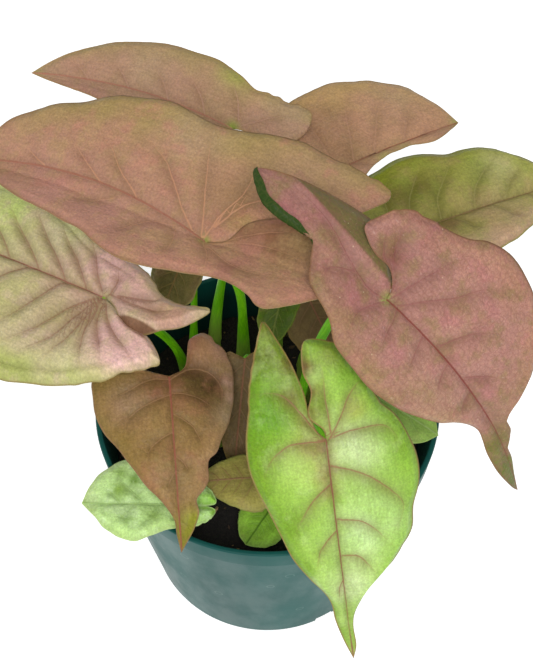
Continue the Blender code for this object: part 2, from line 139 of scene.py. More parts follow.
class Graph:
    """Builds a node tree from short calls."""

    def __init__(self, tree: bpy.types.NodeTree) -> None:
        """Keep the tree that the nodes go into."""
        self.tree = tree

    def put(self, socket: Socket, value: Value) -> None:
        """Link or set one input.

        Args:
            socket: The input.
            value: Another node's output, a number or a tuple.
        """
        if isinstance(value, bpy.types.NodeSocket):
            self.tree.links.new(value, socket)
        else:
            socket.default_value = value

    def node(self, kind: str, inputs: Optional[Inputs] = None, **settings: Any) -> bpy.types.Node:
        """Add a node.

        Args:
            kind: The node's type name.
            inputs: Values or outputs for its inputs, by name or number.
            settings: The node's own properties.

        Returns:
            The node.
        """
        made = self.tree.nodes.new(kind)
        for name, value in settings.items():
            setattr(made, name, value)
        for name, value in (inputs or {}).items():
            self.put(made.inputs[name], value)
        return made

    def math(self, operation: str, first: Value, second: Value = 0.0, third: Value = 0.0) -> Socket:
        """Add a Math node and return its output."""
        made = self.node("ShaderNodeMath", {0: first, 1: second, 2: third}, operation=operation)
        return made.outputs[0]

    def step(self, value: Value, low: Value, high: Value, start: Value = 0.0, end: Value = 1.0) -> Socket:
        """A smooth step of value from start at low to end at high."""
        inputs = {"Value": value, "From Min": low, "From Max": high, "To Min": start, "To Max": end}
        made = self.node("ShaderNodeMapRange", inputs, interpolation_type="SMOOTHSTEP")
        return made.outputs["Result"]

    def mix(self, factor: Value, first: Value, second: Value, blend: Blend = Blend.MIX) -> Socket:
        """Mix two colours."""
        made = self.node("ShaderNodeMix", data_type="RGBA", blend_type=blend.value)
        self.put(made.inputs["Factor"], factor)
        self.put(made.inputs["A"], first)
        self.put(made.inputs["B"], second)
        return made.outputs["Result"]

    def lay(self, ground: Value, code: str, mask: Value, strength: float) -> Socket:
        """Lay an sRGB hex colour over a ground, as far as a mask times a strength says."""
        return self.mix(self.math("MULTIPLY", mask, strength), ground, linear(code))

    def noise(self, vector: Value, scale: float, detail: float = 3.0, rough: float = 0.55) -> Socket:
        """A noise value between 0 and 1."""
        inputs = {"Vector": vector, "Scale": scale, "Detail": detail, "Roughness": rough}
        return self.node("ShaderNodeTexNoise", inputs).outputs["Fac"]

    def stretch(self, vector: Value, scale: tuple[float, float, float]) -> Socket:
        """A vector scaled along each axis."""
        return self.node("ShaderNodeMapping", {"Vector": vector, "Scale": scale}).outputs["Vector"]

    def combine(self, operation: str, first: Value, second: Value) -> Socket:
        """Add a Vector Math node and return its vector."""
        return self.node("ShaderNodeVectorMath", {0: first, 1: second}, operation=operation).outputs[0]

    def cells(self, vector: Value, scale: float, channel: str) -> tuple[Socket, Socket]:
        """Round cells: the distance to each one's middle, and a channel of its random colour."""
        made = self.node("ShaderNodeTexVoronoi", {"Vector": vector, "Scale": scale}, feature="F1").outputs
        drawn = self.node("ShaderNodeSeparateColor", {"Color": made["Color"]}).outputs[channel]
        return made["Distance"], drawn

    def bump(self, shader: bpy.types.Node, height: Value, strength: float, distance: float) -> None:
        """Let a height tilt a shader's normals; the distance is in metres."""
        made = self.node("ShaderNodeBump", {"Height": height, "Strength": strength, "Distance": distance})
        self.put(shader.inputs["Normal"], made.outputs["Normal"])

    def attribute(self, name: str, output: str = "Fac") -> Socket:
        """A value stored on the mesh."""
        return self.node("ShaderNodeAttribute", attribute_name=name).outputs[output]


class SharedEffect:
    """A node group that several materials use, made once."""

    def __init__(self, name: str, inputs: dict[str, str], outputs: dict[str, str]) -> None:
        """Make the empty group.

        Args:
            name: The group's name.
            inputs: Socket type by input name.
            outputs: Socket type by output name.
        """
        self.tree = bpy.data.node_groups.new(name, "ShaderNodeTree")
        for label, kind in inputs.items():
            self.tree.interface.new_socket(label, in_out="INPUT", socket_type=kind)
        for label, kind in outputs.items():
            self.tree.interface.new_socket(label, in_out="OUTPUT", socket_type=kind)
        self.graph = Graph(self.tree)
        self.start = self.graph.node("NodeGroupInput").outputs
        self.end = self.graph.node("NodeGroupOutput").inputs

    def use(self, graph: Graph, inputs: Inputs) -> Any:
        """Add the group to a material and return its outputs."""
        made = graph.node("ShaderNodeGroup", node_tree=self.tree)
        for name, value in inputs.items():
            graph.put(made.inputs[name], value)
        return made.outputs


@dataclass(frozen=True)
class Mottle:
    """A noise, stretched or not, and the values between which it is cut to soft spots."""

    scale: float = 1.0
    detail: float = 3.0
    rough: float = 0.55
    stretch: Optional[tuple[float, float, float]] = None
    low: float = 0.0
    high: float = 1.0
    start: float = 0.0
    end: float = 1.0

    def noise(self, g: Graph, vector: Value) -> Socket:
        """The noise, from 0 to 1."""
        spot = g.stretch(vector, self.stretch) if self.stretch else vector
        return g.noise(spot, self.scale, self.detail, self.rough)

    def cut(self, g: Graph, value: Value) -> Socket:
        """A value of the noise, cut to soft spots."""
        return g.step(value, self.low, self.high, self.start, self.end)

    def mask(self, g: Graph, vector: Value) -> Socket:
        """The noise, cut to soft spots."""
        return self.cut(g, self.noise(g, vector))


FLOAT = "NodeSocketFloat"
VECTOR = "NodeSocketVector"

# Lines on a blade, from their full to their faded edge in millimetres, how far from a vein they may show, how
# they fade between two shares of a vein's length, and how they swing from side to side.
RIB_LINE = (0.1, 0.5)
RIM_LINE = (0.15, 0.75)
VEIN_CORE = 0.04
VEIN_HALF_WIDTH = 0.44
VEIN_NARROWING = 0.26
VEIN_CLEAR = 1.5
VEIN_FADE = (0.45, 1.0, 1.0, 0.12)
VEIN_SWING = Mottle(0.35)
VEIN_SWING_WIDTH = 0.5
RIB_SWING_SHARE = 0.6

# Patterns on a blade, in its flat millimetres.
BLOTCHES = Mottle(0.16, 4.0, 0.6, low=0.44, high=0.68)
BLUSHES = Mottle(0.11, 5.0, 0.62, low=0.5, high=0.66)
GRAIN = Mottle(1.5, 5.0, 0.75)
FLECKS = Mottle(1.1, 5.0, 0.75, (1.0, 0.45, 1.0), 0.6, 0.7)
STREAKS = Mottle(0.8, 4.0, 0.65, (1.5, 0.3, 1.0), 0.3, 0.7)
NET_SCALE = 0.62
NET_LINE = 0.11
NET_CUSHION = 0.5
NET_BEND = (1.6, 1.6, 1.6)
SPECK_SCALE = 0.33
SPECK_EDGE = (0.03, 0.085)
SPECK_FEW = 0.78
SPECK_COLOUR = "#e6d9b8"


def make_vein_lines() -> SharedEffect:
    """Fine lines along the midrib and the side veins, and along the blade's rim."""
    inputs = {"Flat": VECTOR, "Rib": FLOAT, "Vein": FLOAT, "Near": FLOAT, "Fade": FLOAT, "Edge": FLOAT}
    effect = SharedEffect("vein_lines", inputs, {"Rib": FLOAT, "Side": FLOAT, "Rim": FLOAT})
    g, start, end = effect.graph, effect.start, effect.end
    swung = g.math("SUBTRACT", VEIN_SWING.noise(g, start["Flat"]), 0.5)
    swung = g.math("MULTIPLY", swung, VEIN_SWING_WIDTH)
    off_rib = g.math("ABSOLUTE", g.math("MULTIPLY_ADD", swung, RIB_SWING_SHARE, start["Rib"]))
    g.put(end["Rib"], g.math("SUBTRACT", 1.0, g.step(off_rib, *RIB_LINE)))
    off_vein = g.math("ABSOLUTE", g.math("ADD", start["Vein"], swung))
    width = g.math("MULTIPLY_ADD", start["Fade"], -VEIN_NARROWING, VEIN_HALF_WIDTH)
    line = g.math("SUBTRACT", 1.0, g.step(off_vein, VEIN_CORE, width))
    line = g.math("MULTIPLY", line, g.math("LESS_THAN", start["Near"], VEIN_CLEAR))
    g.put(end["Side"], g.math("MULTIPLY", line, g.step(start["Fade"], *VEIN_FADE)))
    g.put(end["Rim"], g.math("SUBTRACT", 1.0, g.step(start["Edge"], *RIM_LINE)))
    return effect


def make_leaf_cells() -> SharedEffect:
    """A blade's fine net of cells, its blotches, blushes, streaks and flecks, and its small pale specks."""
    found = ("Net", "Cushion", "Blotch", "Grain", "Speck", "Fleck", "Blush", "Streak")
    inputs = {"Flat": VECTOR, "Seed": FLOAT, "Stretch": FLOAT}
    effect = SharedEffect("leaf_cells", inputs, {name: FLOAT for name in found})
    g, start, end = effect.graph, effect.start, effect.end
    shift = g.node("ShaderNodeCombineXYZ", {axis: start["Seed"] for axis in "XYZ"})
    place = g.combine("ADD", start["Flat"], shift.outputs[0])
    bend = g.node("ShaderNodeTexNoise", {"Vector": place, "Scale": 0.5, "Detail": 2.0}).outputs["Color"]
    bent = g.combine("ADD", place, g.combine("MULTIPLY", bend, NET_BEND))
    net = g.node("ShaderNodeTexVoronoi", {"Vector": bent, "Scale": NET_SCALE}, feature="DISTANCE_TO_EDGE")
    to_edge = net.outputs["Distance"]
    g.put(end["Net"], g.math("SUBTRACT", 1.0, g.step(to_edge, 0.0, NET_LINE)))
    g.put(end["Cushion"], g.step(to_edge, 0.0, NET_CUSHION))
    squeeze = g.node("ShaderNodeCombineXYZ", {"X": 1.0, "Y": start["Stretch"], "Z": 1.0}).outputs[0]
    drawn = g.combine("MULTIPLY", place, squeeze)
    g.put(end["Blotch"], BLOTCHES.mask(g, drawn))
    g.put(end["Blush"], BLUSHES.mask(g, drawn))
    g.put(end["Grain"], GRAIN.noise(g, place))
    away, few = g.cells(place, SPECK_SCALE, "Red")
    speck = g.math("SUBTRACT", 1.0, g.step(away, *SPECK_EDGE))
    g.put(end["Speck"], g.math("MULTIPLY", speck, g.math("GREATER_THAN", few, SPECK_FEW)))
    g.put(end["Fleck"], FLECKS.mask(g, place))
    g.put(end["Streak"], STREAKS.mask(g, place))
    return effect


class Finishes:
    """The shared effects, made once and handed to every finish."""

    def __init__(self) -> None:
        """Make the shared node groups."""
        self.veins = make_vein_lines()
        self.cells = make_leaf_cells()


def new_material(name: str) -> tuple[bpy.types.Material, Graph, bpy.types.Node]:
    """Start a material.

    Returns:
        The material, its graph and its Principled shader.
    """
    made = bpy.data.materials.new(name)
    made.use_nodes = True
    graph = Graph(made.node_tree)
    return made, graph, made.node_tree.nodes["Principled BSDF"]


def set_even(shader: bpy.types.Node, values: dict[str, Value]) -> None:
    """Set the shader's inputs that are the same all over a surface."""
    for name, value in values.items():
        shader.inputs[name].default_value = value


@dataclass(frozen=True)
class Patch:
    """A soft patch of colour on a blade, in the blade's flat millimetres."""

    u: float
    v: float
    radius: float
    colour: Tone
    strength: float = 1.0
    half: Optional[Half] = None


# The unevenness of a blade's tint: its scale per millimetre, and how far it moves each soft edge.
UNEVEN_SCALE = 0.11
UNEVEN_OUTER = 0.3
UNEVEN_TIP = 0.1
UNEVEN_PATCH = 0.7

# How dark and light grain and streaks make a blade, how grain changes its roughness, and how far below the
# blade, in millimetres, a tucked part is given its painted shade in full.
GRAIN_SHADES = (0.82, 1.18)
STREAK_SHADES = (0.93, 1.07)
ROUGH_LESS = 0.07
ROUGH_MORE = 0.09
TUCKED_SHADE_FULL = 0.6

# What is the same all over a blade, and all over a stalk.
BLADE_EVEN = {
    "Specular IOR Level": 0.2,
    "Subsurface Weight": 0.12,
    "Subsurface Radius": (0.9, 0.8, 0.3),
    "Subsurface Scale": 0.0012,
}
STALK_EVEN = {
    "Specular IOR Level": 0.3,
    "Subsurface Weight": 0.2,
    "Subsurface Radius": (0.6, 0.9, 0.2),
    "Subsurface Scale": 0.0015,
}


@dataclass(frozen=True)
class LeafSkin:
    """A blade's colours, as sRGB hex, and how strongly its veins and blotches show."""

    field: str
    outer_right: str
    outer_left: str
    tip: str
    vein: str
    rib: str
    # hollow colours the fine net, and is the painted shade along the veins and on their tip sides.
    hollow: str
    rim: str
    under: str
    blotch: str
    patches: tuple[Patch, ...] = ()
    outer_start: float = 0.5
    tip_start: float = 0.78
    vein_strength: float = 0.5
    rib_strength: float = 0.8
    hollow_shade_strength: float = 0.3
    lee_shade_strength: float = 0.2
    blotch_strength: float = 0.3
    blotch_stretch: float = 1.0
    net_strength: float = 0.08
    # How strongly the crests between veins take painted light, and the veins painted shade.
    crest_shading: float = 0.1
    speck_strength: float = 0.15
    fleck: str = "#c9b49a"
    fleck_strength: float = 0.12
    blush: str = "#b0806e"
    blush_strength: float = 0.2
    # tucked is painted shade: the colour of a part tucked down below the blade.
    tucked: str = "#77693f"
    rim_strength: float = 0.7
    back_net: float = 0.08
    back_rib: float = 0.5
    bump: float = 0.8
    bump_distance: float = 0.0004
    roughness: float = 0.5

    def tint(
        self, halves: np.ndarray, flat: np.ndarray, across: np.ndarray, length: float, seed: float
    ) -> np.ndarray:
        """The soft ground colour at each point of the blade.

        Args:
            halves: 1 on the right half and -1 on the left.
            flat: Rows of (u, v), mm.
            across: Share of the way across to the outer margin.
            length: The blade's length from sinus to tip, mm.
            seed: Shifts the unevenness.

        Returns:
            RGBA rows, linear.
        """
        u, v = flat.T
        spots = [Vector((x * UNEVEN_SCALE + seed, y * UNEVEN_SCALE, seed)) for x, y in flat]
        rough = np.array([noise.noise(spot) for spot in spots])
        colour = np.tile(np.array(linear(self.field)), (len(u), 1))

        def blend(share: np.ndarray, code: str) -> None:
            """Blend a colour over the blade by shares."""
            nonlocal colour
            share = np.clip(share, 0.0, 1.0)[:, None]
            colour = colour * (1.0 - share) + np.array(linear(code)) * share

        outer = smooth_step(self.outer_start, 1.0, across + UNEVEN_OUTER * rough)
        blend(outer * (halves > 0), self.outer_right)
        blend(outer * (halves < 0), self.outer_left)
        blend(smooth_step(self.tip_start, 1.0, v / length + UNEVEN_TIP * rough), self.tip)
        for patch in self.patches:
            away = np.hypot(u - patch.u, v - patch.v) / patch.radius
            share = np.exp(-(away**2)) * patch.strength * (1.0 + UNEVEN_PATCH * rough)
            share = share if patch.half is None else share * (halves == patch.half.value)
            blend(share, patch.colour.value)
        return colour

    def material(self, name: str, finishes: Finishes, seed: float) -> bpy.types.Material:
        """Build the blade's material.

        Args:
            name: The material's name.
            finishes: The shared effects.
            seed: Shifts the blotches from leaf to leaf.

        Returns:
            The material.
        """
        made, g, shader = new_material(name)
        flat = g.attribute("flat", "Vector")
        stored = {part.capitalize(): g.attribute(part) for part in ("rib", "vein", "near", "fade", "edge")}
        veins = finishes.veins.use(g, {"Flat": flat, **stored})
        cells = finishes.cells.use(g, {"Flat": flat, "Seed": seed, "Stretch": self.blotch_stretch})
        hollow = g.attribute("hollow")
        colour = self.ground(g, cells)
        side = g.math("MULTIPLY", veins["Side"], g.attribute("shown"))
        layers = (
            (self.hollow, cells["Net"], self.net_strength),
            (self.fleck, cells["Fleck"], self.fleck_strength),
            # Painted shade in the hollow colour: on the side veins' tip sides, and in the hollows along side
            # veins and midrib.
            (self.hollow, g.attribute("lee_shade"), self.lee_shade_strength),
            (self.hollow, hollow, self.hollow_shade_strength),
            (SPECK_COLOUR, cells["Speck"], self.speck_strength),
            (self.vein, side, self.vein_strength),
            (self.rib, veins["Rib"], self.rib_strength),
            (self.rim, veins["Rim"], self.rim_strength),
        )
        for code, mask, strength in layers:
            colour = g.lay(colour, code, mask, strength)
        back = g.lay(linear(self.under), self.blotch, cells["Net"], self.back_net)
        back = g.lay(back, self.rim, veins["Rib"], self.back_rib)
        g.put(shader.inputs["Base Color"], g.mix(g.attribute("under"), colour, back))
        low, high = self.roughness - ROUGH_LESS, self.roughness + ROUGH_MORE
        rough = g.step(cells["Grain"], 0.25, 0.75, low, high)
        g.put(shader.inputs["Roughness"], rough)
        height = g.math("MULTIPLY", hollow, -0.3)
        raised = (
            (cells["Cushion"], 0.3),
            (veins["Side"], 0.25),
            (veins["Rib"], 0.35),
            (cells["Grain"], 0.14),
        )
        for mask, share in raised:
            height = g.math("MULTIPLY_ADD", mask, share, height)
        g.bump(shader, height, self.bump, self.bump_distance)
        set_even(shader, BLADE_EVEN)
        return made

    def ground(self, g: Graph, cells: Any) -> Socket:
        """The blade's ground colour: its tint with blotches and blushes, darkened and lightened by grain and
        streaks, with painted light on the crests between veins and painted shade at the veins.

        Args:
            g: The material's graph.
            cells: The outputs of the shared leaf cells.

        Returns:
            The colour under the veins.
        """
        colour = g.lay(g.attribute("tint", "Color"), self.blotch, cells["Blotch"], self.blotch_strength)
        colour = g.lay(colour, self.blush, cells["Blush"], self.blush_strength)
        # Painted shade over the part tucked down below the blade.
        colour = g.mix(g.step(g.attribute("tucked"), 0.0, TUCKED_SHADE_FULL), colour, linear(self.tucked))
        # Painted light on the crests between veins and painted shade at the veins, from the crest attribute.
        low, high = 1.0 - self.crest_shading, 1.0 + self.crest_shading
        grain = g.step(cells["Grain"], 0.3, 0.7, *GRAIN_SHADES)
        grain = g.math("MULTIPLY", grain, g.step(cells["Streak"], 0.0, 1.0, *STREAK_SHADES))
        grain = g.math("MULTIPLY", grain, g.step(g.attribute("crest"), 0.0, 1.0, low, high))
        shade = g.node("ShaderNodeCombineColor", {"Red": grain, "Green": grain, "Blue": grain}).outputs[0]
        return g.mix(1.0, colour, shade, Blend.MULTIPLY)


@dataclass(frozen=True)
class StalkSkin:
    """Fresh green stalk: paler and browner at its foot, with fine stripes along it."""

    colour: str = "#7fc80c"
    foot: str = "#a9b45c"
    shade: str = "#58a606"
    neck: str = "#86ad2a"
    fleck: str = "#b9c46a"
    stripes: Mottle = Mottle(1.0, 4.0, 0.6, (9.0, 9.0, 0.25), 0.35, 0.7)
    flecks: Mottle = Mottle(1.3, 3.0, 0.7, low=0.62, high=0.76, end=0.35)
    foot_part: float = 0.22
    foot_strength: float = 0.75
    neck_start: float = 0.9
    neck_strength: float = 0.5
    bump: tuple[float, float] = (0.35, 0.0002)
    roughness: float = 0.45

    def material(self) -> bpy.types.Material:
        """Build the stalks' material."""
        made, g, shader = new_material("stalk_green")
        along = g.attribute("along")
        line = g.attribute("line", "Vector")
        stripes = self.stripes.noise(g, line)
        colour = g.mix(self.stripes.cut(g, stripes), linear(self.shade), linear(self.colour))
        foot = g.step(along, 0.0, self.foot_part, self.foot_strength, 0.0)
        colour = g.mix(foot, colour, linear(self.foot))
        colour = g.lay(colour, self.neck, g.step(along, self.neck_start, 1.0), self.neck_strength)
        colour = g.mix(self.flecks.mask(g, line), colour, linear(self.fleck))
        g.put(shader.inputs["Base Color"], colour)
        g.bump(shader, stripes, *self.bump)
        set_even(shader, {**STALK_EVEN, "Roughness": self.roughness})
        return made


@dataclass(frozen=True)
class PotPlastic:
    """Moulded blue-green plastic: satin, a little dusty, with scuffs, dried water marks and painted shade
    inside.
    """

    colour: str = "#11524d"
    deep: str = "#0e4541"
    dust: str = "#4a776f"
    # inner is painted shade, laid over the inner wall.
    inner: str = "#0b2624"
    water_mark: str = "#88a098"
    clouds: Mottle = Mottle(stretch=(22.0, 22.0, 9.0), low=0.3, high=0.7)
    dusting: Mottle = Mottle(1.0, 6.0, 0.65, (60.0, 60.0, 30.0), 0.5, 0.85, end=0.12)
    streaks: Mottle = Mottle(1.0, 3.0, 0.6, (260.0, 260.0, 14.0))
    grain: Mottle = Mottle(2600.0, 2.0, 0.5)
    drop_scale: float = 160.0
    drop_radius: float = 0.22
    drop_line: float = 0.05
    drops_few: float = 0.86
    drop_strength: float = 0.22
    inner_shade_strength: float = 0.85
    bump: tuple[float, float] = (0.12, 0.0003)
    specular: float = 0.18
    roughness: float = 0.42

    def material(self) -> bpy.types.Material:
        """Build the pot's material."""
        made, g, shader = new_material("pot_plastic")
        place = g.node("ShaderNodeTexCoord").outputs["Object"]
        colour = g.mix(self.clouds.mask(g, place), linear(self.deep), linear(self.colour))
        dusty = self.dusting.noise(g, place)
        colour = g.mix(self.dusting.cut(g, dusty), colour, linear(self.dust))
        away, few = g.cells(place, self.drop_scale, "Green")
        ring = g.math("ABSOLUTE", g.math("SUBTRACT", away, self.drop_radius))
        ring = g.math("SUBTRACT", 1.0, g.step(ring, 0.0, self.drop_line))
        ring = g.math("MULTIPLY", ring, g.math("GREATER_THAN", few, self.drops_few))
        colour = g.lay(colour, self.water_mark, ring, self.drop_strength)
        # Painted shade on the inner wall.
        colour = g.lay(colour, self.inner, g.attribute("inside"), self.inner_shade_strength)
        g.put(shader.inputs["Base Color"], colour)
        rough = g.step(dusty, 0.35, 0.75, self.roughness - 0.04, self.roughness + 0.16)
        g.put(shader.inputs["Roughness"], rough)
        height = g.math("MULTIPLY", self.grain.noise(g, place), 0.25)
        height = g.math("MULTIPLY_ADD", self.streaks.noise(g, place), 0.8, height)
        g.bump(shader, height, *self.bump)
        set_even(shader, {"Specular IOR Level": self.specular})
        return made


@dataclass(frozen=True)
class PottingMix:
    """Damp black peat with crumbs."""

    dark: str = "#0b0806"
    light: str = "#1d1610"
    fibre: str = "#5a4328"
    fine: Mottle = Mottle(1500.0, 5.0, 0.7, low=0.35, high=0.75)
    fibres: Mottle = Mottle(1.0, 3.0, 0.6, (300.0, 1500.0, 900.0), 0.66, 0.78, end=0.6)
    crumb_scale: float = 620.0
    bump: tuple[float, float] = (0.9, 0.0008)
    roughness: float = 0.92

    def material(self) -> bpy.types.Material:
        """Build the potting mix's material."""
        made, g, shader = new_material("potting_soil")
        place = g.node("ShaderNodeTexCoord").outputs["Object"]
        crumbs = g.node("ShaderNodeTexVoronoi", {"Vector": place, "Scale": self.crumb_scale}, feature="F1")
        fine = self.fine.noise(g, place)
        colour = g.mix(self.fine.cut(g, fine), linear(self.dark), linear(self.light))
        colour = g.mix(self.fibres.mask(g, place), colour, linear(self.fibre))
        g.put(shader.inputs["Base Color"], colour)
        height = g.math("MULTIPLY_ADD", fine, 0.7, g.math("MULTIPLY", crumbs.outputs["Distance"], -1.0))
        g.bump(shader, height, *self.bump)
        set_even(shader, {"Roughness": self.roughness})
        return made


@dataclass(frozen=True)
class BarkChip:
    """Bark and fibre bits, each with its own shade."""

    groove: str = "#1a120b"
    grain: Mottle = Mottle(1.0, 4.0, 0.65, (400.0, 1800.0, 1100.0), 0.3, 0.75, 0.5, 0.0)
    bump: tuple[float, float] = (0.7, 0.0003)
    roughness: float = 0.85

    def material(self) -> bpy.types.Material:
        """Build the chips' material."""
        made, g, shader = new_material("bark_chips")
        grain = self.grain.noise(g, g.node("ShaderNodeTexCoord").outputs["Object"])
        colour = g.mix(self.grain.cut(g, grain), g.attribute("tint", "Color"), linear(self.groove))
        g.put(shader.inputs["Base Color"], colour)
        g.bump(shader, grain, *self.bump)
        set_even(shader, {"Roughness": self.roughness})
        return made


def add_object(name: str, data: Optional[bpy.types.ID]) -> bpy.types.Object:
    """Put an object with its data in the scene."""
    obj = bpy.data.objects.new(name, data)
    bpy.context.scene.collection.objects.link(obj)
    return obj


def add_piece(name: str, mesh: bpy.types.Mesh, material: bpy.types.Material) -> bpy.types.Object:
    """Put a mesh in the scene with its material."""
    mesh.materials.append(material)
    return add_object(name, mesh)


def stand_in(piece: bpy.types.Object, node: str, slot: str) -> None:
    """Let a piece stand for a CAD node, ride with the plant and report itself.

    Args:
        piece: The dressed piece.
        node: The CAD node that it replaces.
        slot: The record's material slot; not used.
    """
    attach(piece, "root")
    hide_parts(node)
    LOG.info("%s: %d faces, replaces %s", piece.name, len(piece.data.polygons), node)


STORED_KINDS = {1: ("FLOAT", "value"), 3: ("FLOAT_VECTOR", "vector"), 4: ("FLOAT_COLOR", "color")}


def store(mesh: bpy.types.Mesh, name: str, rows: np.ndarray) -> None:
    """Store a number, a vector or a colour on each point of a mesh, as the rows' width says."""
    kind, part = STORED_KINDS[rows.shape[1] if rows.ndim > 1 else 1]
    mesh.attributes.new(name, kind, "POINT").data.foreach_set(part, np.asarray(rows, np.float32).ravel())


def smooth_mesh(name: str, points: Points, faces: Sequence[Sequence[int]]) -> bpy.types.Mesh:
    """A smoothly shaded mesh from points in metres."""
    mesh = bpy.data.meshes.new(name)
    mesh.from_pydata([tuple(point) for point in points], [], faces)
    mesh.shade_smooth()
    return mesh


def close_mesh(mesh: bmesh.types.BMesh, name: str) -> bpy.types.Mesh:
    """Turn a closed mesh's faces outwards and keep it as scene data."""
    bmesh.ops.recalc_face_normals(mesh, faces=mesh.faces)
    made = bpy.data.meshes.new(name)
    mesh.to_mesh(made)
    mesh.free()
    return made


def circle(radius: float, steps: int) -> list[Spot]:
    """Points around the pot's axis, or the one point on it where the radius is 0."""
    angles = [2 * math.pi * k / steps for k in range(steps if radius else 1)]
    return [(radius * math.cos(angle), radius * math.sin(angle)) for angle in angles]


def bridge_rings(name: str, rings: Sequence[Points]) -> bpy.types.Mesh:
    """Bridge rings of points into one closed mesh.

    Args:
        name: The mesh's name.
        rings: Points in millimetres, ring by ring; the first and the last ring are one point each.

    Returns:
        The mesh, in metres.
    """
    mesh = bmesh.new()
    made = [[mesh.verts.new((x * MM, y * MM, z * MM)) for x, y, z in ring] for ring in rings]
    steps = max(len(ring) for ring in made)
    for low, high in zip(made, made[1:]):
        for k in range(steps):
            n = (k + 1) % steps
            corners = [low[k % len(low)], low[n % len(low)], high[n % len(high)], high[k % len(high)]]
            mesh.faces.new([c for i, c in enumerate(corners) if c is not corners[i - 1]])
    return close_mesh(mesh, name)


def spline(points: Points, samples: int) -> np.ndarray:
    """Points along a Catmull-Rom curve through the given points, ends included."""
    knots = np.array(points, float)
    knots = np.vstack([2 * knots[0] - knots[1], knots, 2 * knots[-1] - knots[-2]])
    found = []
    for i in range(1, len(knots) - 2):
        a, b, c, d = knots[i - 1 : i + 3]
        for k in range(samples):
            t = k / samples
            along = (c - a) * t
            bend = (2 * a - 5 * b + 4 * c - d) * t * t
            turn = (3 * b - a - 3 * c + d) * t**3
            found.append((2 * b + along + bend + turn) / 2)
    return np.array([*found, knots[-2]])


def run_lengths(line: np.ndarray) -> np.ndarray:
    """The length from a polyline's start to each of its points."""
    return np.concatenate([[0.0], np.cumsum(np.hypot(*np.diff(line, axis=0).T))])


def at_shares(line: np.ndarray, shares: np.ndarray) -> np.ndarray:
    """The points at given shares of a polyline's length."""
    lengths = run_lengths(line)
    wanted = shares * lengths[-1]
    return np.stack([np.interp(wanted, lengths, line[:, 0]), np.interp(wanted, lengths, line[:, 1])], axis=1)


def swing(along: np.ndarray, rate: float, shift: float = 0.0, seed: float = 0.0) -> np.ndarray:
    """A sine wave along a blade; the rate is in radians from the tip to the sinus."""
    return np.sin(rate * along + shift + seed)


@dataclass(frozen=True)
class Grid:
    """How finely a blade is divided: rows ahead of and behind the sinus, and columns to a margin."""

    forward: int
    backward: int
    columns: int


LARGE = Grid(100, 48, 40)
MIDDLE = Grid(64, 26, 28)
SMALL = Grid(34, 14, 13)
CURVE_SAMPLES = 10
VEIN_SAMPLES = 6
FAR = 1e3

# The sinus's own row ends on the outer margin at this share of the way back to the lobe's end.
ROW_TURN = 0.25

# On this first share of a lobe, the distance to its inner margin is raised at this rate, mm.
SINUS_SHARE = 0.06
SINUS_RISE = 30.0

# In millimetres: the solid blade's thickness, the gap between pieces, the dressed blade's thickness and the
# width of its thinner margin. The last is the margin's share of that thickness.
BLADE_THICKNESS = 0.8
GAP = 0.3
DRESSED_THICKNESS = 0.5
THIN_MARGIN = 3.0
MARGIN_SHARE = 0.3

# The folded lobe: the strip's share of a row, where on the lobe it grows, and its way inwards and up.
FLAP_SHARE = 0.25
FLAP_GROWTH = (0.34, 0.6)
FLAP_INWARDS = 0.64
FLAP_RISE = 0.77

# The midrib's hollow and the quilting between veins, with painted shade along the midrib and the side veins
# and on the side veins' tip sides: depths and shade as shares, reaches in millimetres.
RIB_DEPTH = 0.5
RIB_REACH = 2.0
RIB_SHADE = 0.8
RIB_SHADE_REACH = 1.2
VEIN_LOSS = 0.85
LEE_SHADE_EDGE = (-0.3, 0.5)
LEE_SHADE_REACH = 2.2
END_CLEARANCE = 5.0
MARGIN_VEIN_EASE = 0.8
QUILT_SPAN = 5.0
QUILT_MARGIN = 3.0

# The margin's waves: rates in radians from the tip to the sinus, the row width in millimetres that is ragged
# in full, and the crimp's share of the wave.
RAGGED_RATES = (31.0, 11.0, 23.0)
RAGGED_WIDTH = 8.0
WAVE_RATES = (6.5, 13.0)
CRIMP_RATES = (23.0, 37.0)
CRIMP_SHARE = 0.22

# The crumpling all over a blade: its height and size in millimetres.
CRUMPLE = 0.2
CRUMPLE_SIZE = 5.0

# Plain side veins: each one's root as a share of the blade's length, and its width as a share of the widest.
PLAIN_VEINS = tuple((0.04 + 0.19 * k, 1.0 - 0.17 * k) for k in range(4))

STORED = ("vein", "near", "fade", "hollow", "lee_shade", "crest", "tucked", "rib", "edge", "shown")


@dataclass(frozen=True)
class Swell:
    """A soft rise, or a hollow where height is negative, in the blade's flat millimetres."""

    u: float
    v: float
    radius: float
    height: float

    def rise(self, side: Half, u: np.ndarray, v: np.ndarray, across: np.ndarray) -> np.ndarray:
        """The height it adds; it fades towards the midrib on the half where it isn't centred."""
        away = np.hypot(u - self.u, v - self.v) / self.radius
        return self.height * np.exp(-(away**2)) * np.where(side.value * self.u >= 0.0, 1.0, across)


@dataclass(frozen=True)
class VeinReach:
    """Each point's distance to one vein, the same with plus on its tip side, and the share of its length."""

    away: np.ndarray
    signed: np.ndarray
    share: np.ndarray


